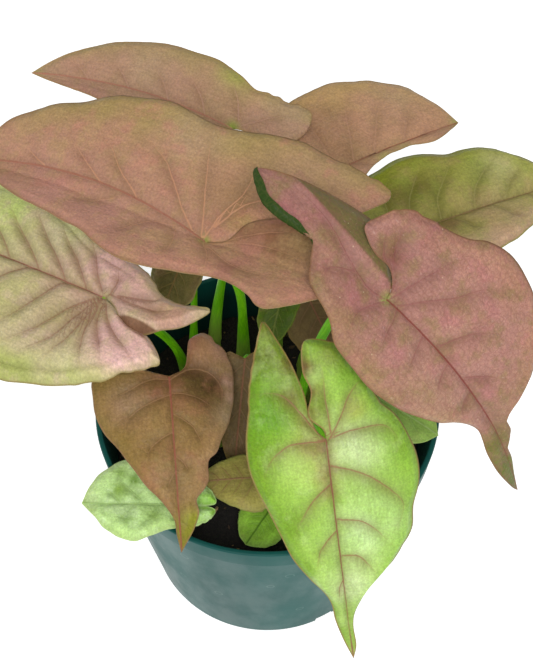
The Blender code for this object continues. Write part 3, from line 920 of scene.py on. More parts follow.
def reach_vein(points: Points, u: np.ndarray, v: np.ndarray) -> VeinReach:
    """Measure from every grid point to one vein.

    Args:
        points: The vein's (u, v) points from its root to its end.
        u: Grid of distances to the leaf's right, mm.
        v: Grid of distances towards the tip, mm.

    Returns:
        The distances and the share of the vein's length at its nearest point.
    """
    line = spline(points, VEIN_SAMPLES)
    lengths = run_lengths(line)
    turn = 1.0 if line[-1, 0] >= line[0, 0] else -1.0
    nearest, signed, share = np.full(u.shape, FAR), np.zeros(u.shape), np.ones(u.shape)
    for i in range(len(line) - 1):
        a, step = line[i], line[i + 1] - line[i]
        size = max(float(step @ step), 1e-9)
        t = np.clip(((u - a[0]) * step[0] + (v - a[1]) * step[1]) / size, 0.0, 1.0)
        away = np.hypot(u - a[0] - t * step[0], v - a[1] - t * step[1])
        closer = away < nearest
        cross = step[0] * (v - a[1]) - step[1] * (u - a[0])
        signed = np.where(closer, np.where(cross * turn >= 0.0, away, -away), signed)
        share = np.where(closer, (lengths[i] + t * math.sqrt(size)) / lengths[-1], share)
        nearest = np.where(closer, away, nearest)
    return VeinReach(nearest, signed, share)


@dataclass(frozen=True)
class VeinField:
    """Grids over one half: distance to the nearest side vein (plus on its tip side, then unsigned), the
    share of that vein's length, the hollows along veins, which also carry painted shade, the painted
    shade on their tip sides, and the crests between, which carry painted light."""

    vein: np.ndarray
    near: np.ndarray
    fade: np.ndarray
    hollow: np.ndarray
    lee_shade: np.ndarray
    crest: np.ndarray


@dataclass(frozen=True)
class Rows:
    """One half of a flat blade in rows, each from the midrib or the lobe's inner margin to the outer margin.

    along is 0 at the tip, 1 at the sinus and 2 at the lobe's end, and across is 1 at the outer margin.
    """

    start: np.ndarray
    finish: np.ndarray
    along: np.ndarray
    across: np.ndarray

    @property
    def width(self) -> np.ndarray:
        """The width of its row at each point, mm."""
        return np.hypot(*(self.finish - self.start).T)[:, None] * np.ones_like(self.across)

    @property
    def lobe(self) -> np.ndarray:
        """The share of the way from the sinus back to the lobe's end."""
        return np.clip(self.along - 1.0, 0.0, 1.0)

    @property
    def inwards(self) -> np.ndarray:
        """Each row's direction from the outer margin to its start."""
        way = self.start - self.finish
        return (way / np.maximum(np.hypot(*way.T), 0.01)[:, None])[:, None, :]

    def points(self, reach: np.ndarray) -> np.ndarray:
        """The (u, v) points at shares of their rows."""
        return self.start[:, None, :] + (self.finish - self.start)[:, None, :] * reach[:, :, None]


@dataclass
class Leaf:
    """One leaf: a blade on its own stalk. Lengths are in millimetres and angles in degrees.

    right and left are the margins as (inner, outer) pairs of (u, v) points: inner runs from the sinus
    back along the lobe, outer from the lobe's end forward towards the tip. u grows outwards on both.
    """

    name: str
    slot: str
    skin: LeafSkin
    sinus: tuple[float, float, float]
    heading: float
    length: float
    right: tuple
    left: tuple
    foot: tuple[float, float]
    slope: float = 0.0
    roll: float = 0.0
    arch: float = 8.0
    lobe_drop: float = 8.0
    fold: float = 0.0
    droop: float = 0.12
    bow: float = 0.0
    wave: float = 0.6
    ragged: float = 0.16
    vein_show: tuple[float, float] = (1.0, 1.0)
    lift: tuple[float, float] = (0.0, 0.0)
    twist: float = 0.0
    twist_start: float = 0.78
    flap: float = 0.0
    stalk_radius: float = 1.4
    grid: Grid = LARGE
    right_veins: tuple = ()
    left_veins: tuple = ()
    quilt: float = 0.5
    quilt_reach: float = 1.1
    margin_vein: float = 0.0
    tuck: float = 0.0
    tuck_from: float = 1.5
    swells: tuple[Swell, ...] = ()

    @property
    def seed(self) -> float:
        """A number that differs from leaf to leaf."""
        return 3.7 * (sum(ord(letter) * (i + 1) for i, letter in enumerate(self.name)) % 97)

    @property
    def back(self) -> float:
        """How far the lobes reach behind the sinus."""
        return max(-self.right[1][0][1], -self.left[1][0][1])

    @property
    def half_width(self) -> float:
        """The wider half's width."""
        return max(u for _, outer in (self.right, self.left) for u, _ in outer)

    @property
    def place(self) -> Matrix:
        """Turns the flat leaf's axes to its heading, slope and roll, and sets it at its sinus."""
        turn = Matrix.Rotation(math.radians(self.heading - 90.0), 4, "Z")
        tilt = Matrix.Rotation(math.radians(self.slope), 4, "X")
        roll = Matrix.Rotation(math.radians(self.roll), 4, "Y")
        return Matrix.Translation(Vector(self.sinus)) @ turn @ tilt @ roll

    def bend(self, flat: np.ndarray, height: np.ndarray) -> np.ndarray:
        """Bend points of the flat blade into the arched, folded blade.

        Args:
            flat: Rows of (u, v).
            height: Height above the flat blade.

        Returns:
            Rows of (x, y, z) before the leaf is placed.
        """
        u, v = flat[:, 0], flat[:, 1]
        ahead = np.radians(-self.arch * v / self.length)
        behind = np.radians(self.lobe_drop * -v / self.back)
        angle = np.where(v > 0, ahead, behind)
        height = height + np.abs(u) * math.sin(math.radians(self.fold)) - self.droop * u * u / self.half_width
        near_tip = np.maximum(0.0, (v / self.length - self.twist_start) / (1.0 - self.twist_start))
        height = height + u * math.tan(math.radians(self.twist)) * near_tip
        along = v * np.cos(angle / 2) - height * np.sin(angle)
        return np.stack([u, along, v * np.sin(angle / 2) + height * np.cos(angle)], axis=1)

    def rows(self, side: Half) -> Rows:
        """Lay rows of points over one half of the flat blade."""
        sign = float(side.value)
        inner, outer = self.right if side is Half.RIGHT else self.left
        margin = [(sign * u, v) for u, v in (*inner, *outer)]
        whole = spline([(0.0, 0.0), *margin, (0.0, self.length)], CURVE_SAMPLES)
        end = (len(inner) + 1) * CURVE_SAMPLES
        rim = whole[end:]
        split = int(np.argmax(rim[:, 1] >= ROW_TURN * outer[0][1]))
        ahead = np.arange(self.grid.forward + 1) / self.grid.forward
        behind = np.arange(1, self.grid.backward + 1) / self.grid.backward
        midrib = np.stack([self.bow * 4.0 * ahead * (1.0 - ahead), self.length * (1.0 - ahead)], axis=1)
        start = np.vstack([midrib, at_shares(whole[: end + 1], behind)])
        finish = np.vstack([at_shares(rim[split:][::-1], ahead), at_shares(rim[: split + 1][::-1], behind)])
        along = np.concatenate([ahead, 1.0 + behind])
        across = np.arange(self.grid.columns + 1) / self.grid.columns
        along, across = np.meshgrid(along, across, indexing="ij")
        return Rows(start, finish, along, across)

    def fold_lobe(self, side: Half, rows: Rows) -> tuple[np.ndarray, np.ndarray]:
        """Fold the right lobe's outer strip over, where the leaf has a flap.

        Args:
            side: Which half.
            rows: The half's rows.

        Returns:
            How far past the fold each point lies, mm, and the share of its row that it reaches.
        """
        if not self.flap or side is Half.LEFT:
            return np.zeros_like(rows.across), rows.across
        grown = smooth_step(*FLAP_GROWTH, rows.lobe) * np.sqrt(np.maximum(0.0, 1.0 - rows.lobe**6))
        hinge = 1.0 - FLAP_SHARE * grown
        past = np.maximum(0.0, rows.across - hinge) / FLAP_SHARE * self.flap
        return past, np.minimum(1.0, rows.across / hinge)

    def ragged_margin(self, side: Half, rows: Rows) -> np.ndarray:
        """How far the margin's small unevenness moves each point inwards, mm."""
        along = rows.along
        first, second, third = RAGGED_RATES
        uneven = swing(along, first, seed=self.seed) * swing(along, second, seed=1.3 * self.seed)
        uneven = uneven + 0.6 * swing(along, third, side.value)
        uneven = self.ragged * uneven * rows.across**8
        return uneven * np.minimum(1.0, 6.0 * along) * np.minimum(1.0, rows.width / RAGGED_WIDTH)

    def ripples(self, side: Half, rows: Rows) -> list[np.ndarray]:
        """The heights of the margin's broad waves and of its fine crimp, mm."""
        along, across = rows.along, rows.across
        from_tip = np.minimum(1.0, 3.0 * along)
        slow, quick = WAVE_RATES
        broad = swing(along, slow, 1.7 * side.value) + 0.6 * swing(along, quick, side.value)
        slow, quick = CRIMP_RATES
        fine = swing(along, quick, 2.0 * side.value, self.seed) + swing(along, slow, seed=self.seed)
        crimp = CRIMP_SHARE * self.wave * across**4 * fine * from_tip
        return [self.wave * across**2 * broad * from_tip, crimp]

    def crumple(self, flat: np.ndarray) -> np.ndarray:
        """Fine uneven relief over the whole blade, about 1 at its highest."""
        spots = [Vector((x + self.seed, y, self.seed)) for x, y in flat.reshape(-1, 2) / CRUMPLE_SIZE]
        return np.array([noise.fractal(spot, 0.7, 2.0, 3) for spot in spots]).reshape(flat.shape[:2])

    def half(self, side: Half) -> dict[str, np.ndarray]:
        """Lay out one half of the blade on its grid.

        Args:
            side: Which half.

        Returns:
            Grid arrays: flat points, height and what the material reads.
        """
        rows = self.rows(side)
        along, across, width, lobe = rows.along, rows.across, rows.width, rows.lobe
        folded, reach = self.fold_lobe(side, rows)
        flat = rows.points(reach) + rows.inwards * folded[:, :, None] * FLAP_INWARDS
        flat = flat + rows.inwards * self.ragged_margin(side, rows)[:, :, None]
        u, v = flat[:, :, 0], flat[:, :, 1]
        edge = (1.0 - across) * width
        near_sinus = SINUS_RISE * np.maximum(0.0, SINUS_SHARE - lobe)
        edge = np.where(along > 1.0, np.minimum(edge, across * width + near_sinus), edge)
        rib = np.where(along <= 1.0, across * width, np.hypot(u, v))
        veins = self.vein_field(side, u, v, rib, edge)
        calm = np.minimum(1.0, 4.0 * along)
        tucked = np.maximum(0.0, -self.tuck_from - u) * (lobe > 0.0) * (side is Half.RIGHT)
        number = 0 if side is Half.RIGHT else 1
        heights = [
            folded * FLAP_RISE,
            *self.ripples(side, rows),
            np.maximum(0.0, -v) * math.sin(math.radians(self.lift[number])),
            self.quilt * (veins.crest - RIB_DEPTH * np.exp(-rib / RIB_REACH)) * calm,
            -self.tuck * tucked,
            *(swell.rise(side, u, v, across) for swell in self.swells),
            CRUMPLE * self.crumple(flat) * calm,
        ]
        return {
            **vars(veins),
            "flat": flat,
            "height": sum(heights),
            # hollow masks the painted shade along side veins and midrib; the material also sinks the bump by
            # it.
            "hollow": np.maximum(veins.hollow, RIB_SHADE * np.exp(-rib / RIB_SHADE_REACH)),
            "tucked": tucked * self.tuck,
            "rib": rib,
            "edge": edge,
            "across": across,
            "half": np.full(u.shape, float(side.value)),
            "shown": np.full(u.shape, self.vein_show[number]),
        }

    def side_veins(self, side: Half) -> tuple:
        """The side veins of one half: those listed, or plain ones in step along the midrib."""
        listed = self.right_veins if side is Half.RIGHT else self.left_veins
        if listed:
            return listed
        reach = 0.8 * self.half_width * side.value
        made = []
        for root, share in PLAIN_VEINS:
            v, wide = self.length * root, reach * share
            made.append(((0.0, v), (0.5 * wide, v + 0.1 * self.length), (wide, v + 0.24 * self.length)))
        return (*made, ((0.0, 0.0), (0.45 * reach, -0.1 * self.length), (0.6 * reach, -0.16 * self.length)))

    def vein_field(
        self, side: Half, u: np.ndarray, v: np.ndarray, rib: np.ndarray, edge: np.ndarray
    ) -> VeinField:
        """What the veins do to each point of one half.

        Args:
            side: Which half.
            u: Grid of distances to the leaf's right, mm.
            v: Grid of distances towards the tip, mm.
            rib: Distance to the midrib, mm.
            edge: Distance to the margin, mm.

        Returns:
            The fields that the mesh and the material read.
        """
        near = np.full(u.shape, FAR)
        signed, fade = near.copy(), np.ones(u.shape)
        hollow, lee_shade = np.zeros(u.shape), np.zeros(u.shape)
        borders = []
        for points in self.side_veins(side):
            own = reach_vein(points, u, v)
            strength = 1.0 - VEIN_LOSS * smooth_step(0.5, 1.0, own.share)
            # Masks for painted shade: in the hollow along each vein and on its tip side.
            hollow = np.maximum(hollow, np.exp(-own.away / self.quilt_reach) * strength)
            ahead = smooth_step(*LEE_SHADE_EDGE, own.signed) * np.exp(-np.maximum(own.signed, 0.0) / LEE_SHADE_REACH)
            lee_shade = np.maximum(lee_shade, ahead * strength)
            borders.append(own.away + END_CLEARANCE * smooth_step(0.6, 1.0, own.share))
            closer = own.away < near
            signed = np.where(closer, own.signed, signed)
            fade = np.where(closer, own.share, fade)
            near = np.where(closer, own.away, near)
        if self.margin_vein:
            borders.append(np.abs(edge - self.margin_vein) + MARGIN_VEIN_EASE + 0.3 * np.maximum(0.0, -v))
        first, second = rib, np.full(u.shape, FAR)
        for away in borders:
            second = np.minimum(second, np.maximum(first, away))
            first = np.minimum(first, away)
        gap = first + second
        crest = np.sin(math.pi * first / np.maximum(gap, 0.01)) * (1.0 - np.exp(-gap / QUILT_SPAN))
        return VeinField(signed, near, fade, hollow, lee_shade, crest * smooth_step(0.0, QUILT_MARGIN, edge))

    def key(self, side: Half, row: int, column: int) -> tuple:
        """Name a grid point so that the halves share their midrib and tip, and a lobe's end is one point."""
        last = self.grid.forward + self.grid.backward
        if row == 0:
            return ("tip",)
        if row == last and not (self.flap and side is Half.RIGHT and column == self.grid.columns):
            return (side, "lobe")
        if column == 0 and row <= self.grid.forward:
            return ("midrib", row)
        return (side, row, column)

    def joined(self) -> tuple[dict[str, np.ndarray], list[list[int]]]:
        """Join the two halves into one sheet.

        Returns:
            The grid arrays as one row for each point, and the faces as point numbers.
        """
        numbers: dict[tuple, int] = {}
        values: dict[str, list] = {name: [] for name in ("flat", "height", "across", "half", *STORED)}
        faces = []
        for side in Half:
            laid = self.half(side)
            index = np.zeros(laid["across"].shape, int)
            for row, column in np.ndindex(index.shape):
                key = self.key(side, row, column)
                if key not in numbers:
                    numbers[key] = len(numbers)
                    for name, found in values.items():
                        found.append(laid[name][row, column])
                index[row, column] = numbers[key]
            corners = (index[:-1, :-1], index[:-1, 1:], index[1:, 1:], index[1:, :-1])
            for ring in np.stack(corners, axis=-1).reshape(-1, 4).tolist():
                ring = [n for i, n in enumerate(ring) if n != ring[i - 1]]
                if len(set(ring)) >= 3:
                    faces.append(ring if side is Half.LEFT else ring[::-1])
        return {name: np.array(found) for name, found in values.items()}, faces

    def blade_mesh(self) -> bpy.types.Mesh:
        """The blade as a thin closed shell with what its material reads stored on its points."""
        values, faces = self.joined()
        flat = values["flat"]
        turned = np.array(self.place.to_3x3())
        middle = self.bend(flat, values["height"]) @ turned.T + np.array(self.place.translation)
        sheet = smooth_mesh("sheet", middle * MM, faces)
        normals = np.array([vertex.normal for vertex in sheet.vertices])
        bpy.data.meshes.remove(sheet)
        if normals.mean(axis=0) @ turned[:, 2] < 0:
            normals = -normals
            faces = [face[::-1] for face in faces]
        thinned = MARGIN_SHARE + (1.0 - MARGIN_SHARE) * smooth_step(0.0, THIN_MARGIN, values["edge"])
        thick = (DRESSED_THICKNESS * thinned / 2.0)[:, None]
        count = len(middle)
        points = np.vstack([middle + normals * thick, middle - normals * thick]) * MM
        shell = list(faces) + [[n + count for n in face[::-1]] for face in faces]
        shell += [[b, a, a + count, b + count] for a, b in self.boundary(faces)]
        mesh = smooth_mesh(f"{self.name}_blade", points, shell)
        tint = self.skin.tint(values["half"], flat, values["across"], self.length, self.seed)
        drawn = np.hstack([flat, np.zeros((count, 1))])
        store(mesh, "flat", np.vstack([drawn, drawn]))
        store(mesh, "tint", np.vstack([tint, tint]))
        for name in STORED:
            store(mesh, name, np.tile(values[name], 2))
        store(mesh, "under", np.repeat([0.0, 1.0], count))
        return mesh

    @staticmethod
    def boundary(faces: list[list[int]]) -> list[tuple[int, int]]:
        """The sheet's outer edges, each in the order in which its face runs."""
        seen = dict.fromkeys(edge for face in faces for edge in zip(face, face[1:] + face[:1]))
        return [(a, b) for a, b in seen if (b, a) not in seen]

    def build_blade(self, finishes: Finishes) -> None:
        """Build and dress the blade."""
        material = self.skin.material(f"{self.name}_skin", finishes, self.seed)
        blade = add_piece(f"{self.name}_surface", self.blade_mesh(), material)
        stand_in(blade, f"{self.name}_blade", self.slot)


@dataclass
class Stalk:
    """A leaf's stalk, in millimetres and degrees: up out of the soil, then in an arch to the blade."""

    leaf: Leaf
    foot_radius: float = 2.1
    common_radius: float = 1.4
    foot_share: float = 3.5
    neck_room: float = 0.8
    hole_floor: float = 52.0
    soil_height: float = 69.0
    lean: float = 48.0
    rise: float = 0.45
    pull: float = 0.18
    tip_reach: float = 0.55
    tip_share: float = 0.8
    taper: float = 0.12
    groove: float = 0.09
    clasp: float = 0.35
    clasp_turn: float = 0.4
    clasp_sharpness: float = 1.6
    clasp_share: float = 3.0
    clasp_start: float = 0.03
    steps: int = 44
    sides: int = 20

    def route(self) -> list[Vector]:
        """The centre line, from the hole's floor to the underside of the blade."""
        leaf = self.leaf
        turned = leaf.place.to_3x3()
        top = leaf.place @ Vector(leaf.bend(np.array([[0.0, 1.0]]), np.zeros(1))[0])
        down = -(turned @ Vector((0.0, 0.0, 1.0)))
        back = turned @ Vector((0.0, -1.0, 0.0))
        lean = math.radians(self.lean)
        away = down * math.cos(lean) + back * math.sin(lean)
        room = self.neck_room * leaf.stalk_radius * math.sin(lean)
        end = top + down * (BLADE_THICKNESS / 2 + GAP + room)
        start = Vector((leaf.foot[0], leaf.foot[1], self.soil_height))
        reach = (end - start).length
        up = start + Vector((0.0, 0.0, self.rise * reach))
        pulled = end + away * self.pull * reach
        line = [Vector((leaf.foot[0], leaf.foot[1], self.hole_floor + GAP))]
        for step in range(self.steps + 1):
            t = step / self.steps
            s = 1.0 - t
            line.append(start * s**3 + up * 3 * s * s * t + pulled * 3 * s * t * t + end * t**3)
        line.append(end - away * self.tip_reach)
        return line

    def radius(self, share: float) -> float:
        """Radius at a share of the arch: widest at the foot, and tapering to the blade."""
        sheath = self.foot_radius / self.common_radius - 1.0
        wide = 1.0 + sheath * max(0.0, 1.0 - self.foot_share * share) - self.taper * share
        return self.leaf.stalk_radius * wide

    def outline(self, angle: float, share: float) -> float:
        """The section's reach as a share of the radius: a groove along its top, and ridges near its foot."""
        groove = 1.0 - self.groove * max(0.0, math.cos(angle)) ** 6
        ridge = max(0.0, 1.0 - abs(math.sin(angle + self.clasp_turn)) * self.clasp_sharpness)
        clasp = ridge * self.clasp * max(0.0, 1.0 - self.clasp_share * share)
        return groove + (clasp if share > self.clasp_start else 0.0)

    def build(self, material: bpy.types.Material) -> None:
        """Build and dress the stalk."""
        line = self.route()
        points, along, around = [], [], []
        side = Vector((1.0, 0.0, 0.0))
        length = 0.0
        for i, centre in enumerate(line):
            ahead = (line[min(i + 1, len(line) - 1)] - line[max(i - 1, 0)]).normalized()
            side = (side - ahead * side.dot(ahead)).normalized()
            other = ahead.cross(side)
            share = min(1.0, max(0.0, (i - 1) / self.steps))
            radius = self.radius(share) * (self.tip_share if centre is line[-1] else 1.0)
            length += (centre - line[i - 1]).length if i else 0.0
            for k in range(self.sides):
                angle = 2 * math.pi * k / self.sides
                step = side * math.cos(angle) + other * math.sin(angle)
                points.append((centre + step * radius * self.outline(angle, share)) * MM)
                along.append(share)
                around.append((math.cos(angle), math.sin(angle), length))
        faces = []
        for i in range(len(line) - 1):
            for k in range(self.sides):
                a, b = i * self.sides + k, i * self.sides + (k + 1) % self.sides
                faces.append([a, b, b + self.sides, a + self.sides])
        last = (len(line) - 1) * self.sides
        faces += [list(range(self.sides))[::-1], [last + k for k in range(self.sides)]]
        mesh = smooth_mesh(f"{self.leaf.name}_stalk", points, faces)
        store(mesh, "along", np.array(along))
        store(mesh, "line", np.array(around))
        stalk = add_piece(f"{self.leaf.name}_petiole", mesh, material)
        stand_in(stalk, f"{self.leaf.name}_stalk", "stalk_green")


def arc(centre: Spot, radius: float, start: float, end: float, steps: int) -> list[Spot]:
    """Points of an arc in the (radius, height) plane, angles in degrees."""
    found = []
    for step in range(steps + 1):
        angle = math.radians(start + (end - start) * step / steps)
        found.append((centre[0] + radius * math.cos(angle), centre[1] + radius * math.sin(angle)))
    return found


@dataclass
class Pot:
    """The moulded nursery pot, in millimetres and degrees.

    It has a floor, a tapered wall, a stepped collar, a rolled lip and drainage slots at its base.
    """

    height: float = 85.0
    rim_radius: float = 55.0
    base_radius: float = 41.0
    wall: float = 1.7
    floor: float = 2.2
    floor_flat: float = 20.0
    floor_rounding: float = 2.0
    base_rounding: float = 3.5
    collar_height: float = 8.5
    collar_step: float = 1.1
    collar_taper: float = 0.7
    collar_rounding: float = 0.45
    collar_corner: float = 0.15
    lip_rounding: float = 0.6
    slots: int = 3
    slot_angle: float = -61.0
    slot_depth: float = 10.0
    slot_width: float = 7.0
    slot_height: float = 4.5
    sharp_angle: float = 40.0
    steps: int = 192
    finish: PotPlastic = PotPlastic()

    def wall_radius(self, z: float) -> float:
        """Outer radius of the tapered body at height z."""
        top = self.rim_radius - self.collar_taper - self.collar_step
        return self.base_radius + (top - self.base_radius) * z / (self.height - self.collar_height)

    def profile(self) -> list[Spot]:
        """The closed section, from the floor's centre up the inside, over the lip and down the outside."""
        collar = self.height - self.collar_height
        base, lip, corner = self.base_rounding, self.lip_rounding, self.collar_rounding
        low = self.floor + self.floor_rounding
        inner = self.rim_radius - self.wall
        outer = self.rim_radius - self.collar_taper
        turn = self.wall_radius(self.floor) - self.wall - self.floor_rounding
        points = [(0.0, self.floor), (self.floor_flat, self.floor)]
        points += arc((turn, low), self.floor_rounding, -90, 0, 6)
        for share in (0.25, 0.5, 0.75, 0.98, 1.0):
            z = low + (collar - self.floor - self.floor_rounding) * share
            points.append((self.wall_radius(z) - self.wall, z))
        points += arc((inner + lip, self.height - lip), lip, 180, 90, 6)
        points += arc((self.rim_radius - lip, self.height - lip), lip, 90, 0, 6)
        points += [(outer + 0.03, collar + 2 * corner)]
        points += arc((outer - corner, collar + corner), corner, 0, -90, 5)
        points += [(self.wall_radius(collar) + self.collar_corner, collar)]
        points += [(self.wall_radius(collar), collar - self.collar_corner)]
        heights = [collar * share for share in (0.98, 0.75, 0.5, 0.25, 0.06)]
        points += [(self.wall_radius(z), z) for z in heights if z > base]
        points += arc((self.wall_radius(base) - base, base), base, 0, -90, 8)
        return [*points, (self.floor_flat, 0.0), (0.0, 0.0)]

    def build(self) -> None:
        """Build and dress the pot."""
        rings = [[(x, y, z) for x, y in circle(r, self.steps)] for r, z in self.profile()]
        pot = add_piece("pot_wall", bridge_rings("pot_wall", rings), self.finish.material())
        cutters = [self.slot_cutter(number) for number in range(self.slots)]
        for cutter in cutters:
            cut = pot.modifiers.new(cutter.name, "BOOLEAN")
            cut.object = cutter
            cut.solver = "EXACT"
        graph = bpy.context.evaluated_depsgraph_get()
        finished = bpy.data.meshes.new_from_object(pot.evaluated_get(graph))
        pot.modifiers.clear()
        pot.data = finished
        for cutter in cutters:
            bpy.data.objects.remove(cutter)
        finished.shade_smooth()
        finished.set_sharp_from_angle(angle=math.radians(self.sharp_angle))
        # Mark the inner wall, which the material darkens with painted shade.
        x, y, z = (np.array([vertex.co[:] for vertex in finished.vertices]) / MM).T
        middle = self.wall_radius(z) - 0.5 * self.wall
        store(finished, "inside", (np.hypot(x, y) < middle) & (z > 0.5) & (z < self.height - 1.5))
        stand_in(pot, "pot", "pot_plastic")

    def slot_cutter(self, number: int) -> bpy.types.Object:
        """A box that cuts one drainage slot across the pot's bottom corner."""
        angle = math.radians(self.slot_angle + 360.0 / self.slots * number)
        mesh = bmesh.new()
        bmesh.ops.create_cube(mesh, size=1.0)
        spot = Vector((self.base_radius * math.cos(angle), self.base_radius * math.sin(angle), 0.0)) * MM
        turned = Matrix.Translation(spot) @ Matrix.Rotation(angle, 4, "Z")
        size = Matrix.Diagonal((self.slot_depth, self.slot_width, 2 * self.slot_height, 1.0))
        bmesh.ops.transform(mesh, matrix=turned @ Matrix.Scale(MM, 4) @ size, verts=mesh.verts)
        return add_object(f"slot_{number}", close_mesh(mesh, "slot"))


@dataclass
class Soil:
    """The potting mix: a lumpy filling of the pot, with bark chips and fibres on it. In millimetres."""

    pot: Pot
    top: float = 66.0
    clearance: float = 0.35
    lumps: float = 1.6
    lump_size: float = 9.0
    crumb: float = 0.7
    crumb_size: float = 2.6
    bottom_bevel: float = 3.0
    bottom_narrowing: float = 2.4
    bottom_clearance: float = 0.6
    rings: int = 70
    steps: int = 190
    chips: int = 230
    chip_corners: int = 14
    chip_size: float = 3.4
    chip_tilt: float = 0.5
    chip_reach: float = 0.97
    chip_rise: float = 0.15
    seed: int = 11
    shades: tuple[str, ...] = ("#2a1d12", "#3b2a1a", "#1c140d", "#4d3a24", "#6b5233", "#8a6f48")
    pale_shades: tuple[str, ...] = ("#b39a6b", "#a58a5e")
    pale_every: int = 9
    finish: PottingMix = PottingMix()
    chip_finish: BarkChip = BarkChip()

    @property
    def reach(self) -> float:
        """The filling's radius at its top."""
        return self.pot.wall_radius(self.top) - self.pot.wall - self.clearance

    def surface(self, x: float, y: float) -> float:
        """Height of the potting mix above the pot's underside."""
        spot = Vector((x, y, self.top))
        lump = noise.noise(spot / self.lump_size) * self.lumps
        small = noise.fractal(spot / self.crumb_size, 0.7, 2.0, 4) * self.crumb
        return self.top + lump + small

    def build(self) -> None:
        """Build the filling and the chips."""
        rings = []
        for ring in range(self.rings + 1):
            spots = circle(self.reach * ring / self.rings, self.steps)
            rings.append([(x, y, self.surface(x, y)) for x, y in spots])
        bottom = self.pot.floor + GAP
        low = bottom + self.bottom_bevel
        edge = self.pot.wall_radius(low) - self.pot.wall - self.bottom_clearance
        for r, z in ((edge, low), (edge - self.bottom_narrowing, bottom), (0.0, bottom)):
            rings.append([(x, y, z) for x, y in circle(r, self.steps)])
        mesh = bridge_rings("potting_mix", rings)
        mesh.shade_smooth()
        filling = add_piece("potting_mix", mesh, self.finish.material())
        stand_in(filling, "soil", "potting_soil")
        self.build_chips()

    def build_chips(self) -> None:
        """Scatter bark chips, fibres and a few pale bits over the potting mix, fused into one piece."""
        draw = random.Random(self.seed)
        mesh = bmesh.new()
        tints = []
        for number in range(self.chips):
            corners = self.chip(draw, mesh)
            shades = self.shades if number % self.pale_every else self.pale_shades
            tints += [linear(draw.choice(shades))] * len(corners)
        layer = mesh.verts.layers.float_color.new("tint")
        for vertex, tint in zip(mesh.verts, tints):
            vertex[layer] = tint
        loose = [vertex for vertex in mesh.verts if not vertex.link_faces]
        bmesh.ops.delete(mesh, geom=loose, context="VERTS")
        chips = add_piece("bark_chips", close_mesh(mesh, "bark_chips"), self.chip_finish.material())
        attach(chips, "root")
        LOG.info("bark_chips: %d faces", len(chips.data.polygons))

    def chip(self, draw: random.Random, mesh: bmesh.types.BMesh) -> list[bmesh.types.BMVert]:
        """Add one chip's hull to the chips.

        Args:
            draw: Where its size, place and shape are drawn from.
            mesh: The mesh of all the chips.

        Returns:
            The points that were drawn for it, with those that its hull leaves loose.
        """
        r = self.reach * math.sqrt(draw.random()) * self.chip_reach
        angle = draw.uniform(0.0, 2 * math.pi)
        x, y = r * math.cos(angle), r * math.sin(angle)
        size = draw.uniform(0.5, 1.0) ** 1.5 * self.chip_size
        shape = Vector((size, size * draw.uniform(0.25, 0.7), size * draw.uniform(0.15, 0.4)))
        tilts = [draw.uniform(-self.chip_tilt, self.chip_tilt) for _ in range(2)]
        turned = Euler((*tilts, draw.uniform(0.0, 6.28))).to_matrix()
        spot = Vector((x, y, self.surface(x, y) + self.chip_rise * shape.z))
        corners = []
        for _ in range(self.chip_corners):
            way = Vector((draw.gauss(0, 1), draw.gauss(0, 1), draw.gauss(0, 1))).normalized()
            corners.append(mesh.verts.new((spot + turned @ (way * shape * 0.5)) * MM))
        bmesh.ops.convex_hull(mesh, input=corners, use_existing_faces=False)
        return corners


CROWN_SKIN = LeafSkin(
    field="#a67e62", outer_right="#96824e", outer_left="#aa7a66", tip="#a87a66", vein="#c48e6c",
    rib="#9c6450", hollow="#8c6a4a", rim="#8a6a48", under="#8d8258", blotch="#a68a5e", outer_start=0.42,
    hollow_shade_strength=0.12, lee_shade_strength=0.4, vein_strength=0.65, blotch_strength=0.5, blush="#b07668",
    blush_strength=0.45, roughness=0.47,
    patches=(
        # Painted shade: the light bronze patch near the sinus on the right half, and the bronze ones on the
        # right lobe. The rust, brown and light bronze patches on the left lobe are partly its own darker
        # colour and partly a painted shadow of the front right leaf's lobe.
        Patch(0, 9, 10, Tone.DUSTY_ROSE, 0.6), Patch(-4, 28, 14, Tone.DUSTY_ROSE, 0.9),
        Patch(-2, 50, 15, Tone.DUSTY_ROSE, 0.9), Patch(14, 2, 6, Tone.BRONZE_LIGHT, 0.6),
        Patch(27, 17, 9, Tone.TAN, 0.7), Patch(27, -18, 12, Tone.TAN_ROSE, 0.7),
        Patch(6, -9, 5, Tone.RUST, 0.8, Half.LEFT), Patch(9, -20, 9, Tone.RUST, 1.0, Half.LEFT),
        Patch(-6, -12, 6, Tone.ROSE_BROWN, 0.7, Half.LEFT), Patch(10, -9, 7, Tone.BRONZE, 0.75, Half.RIGHT),
        Patch(20, -24, 8, Tone.BRONZE_LIGHT, 0.6, Half.RIGHT), Patch(13, -24, 6, Tone.RUST, 0.7, Half.LEFT),
        Patch(4, -30, 8, Tone.BRONZE_LIGHT, 0.6, Half.LEFT), Patch(8, -27, 6, Tone.BROWN_SHADE, 0.6, Half.LEFT),
        Patch(0, 0, 1.6, Tone.STALK_GREEN, 0.9),
    ),
)
DUSTY_SKIN = LeafSkin(
    field="#a9836b", outer_right="#a18c5b", outer_left="#a77c6a", tip="#a5866a", vein="#b98f7c",
    rib="#a8705c", hollow="#94704f", rim="#98784f", under="#8d8258", blotch="#a08760", outer_start=0.4,
    hollow_shade_strength=0.2, vein_strength=0.45, blotch_strength=0.4, crest_shading=0.05,
    patches=(
        Patch(17, 6, 5, Tone.OLIVE_LIGHT, 0.9), Patch(4, 8, 7, Tone.TAN_DARK, 0.6),
        Patch(10, 33, 10, Tone.TAN, 0.6), Patch(10, -14, 7, Tone.TAN, 0.7),
        Patch(0, 71, 3, Tone.OLIVE_GREY, 0.7), Patch(0, 0, 2, Tone.STALK_GREEN, 0.9),
    ),
)
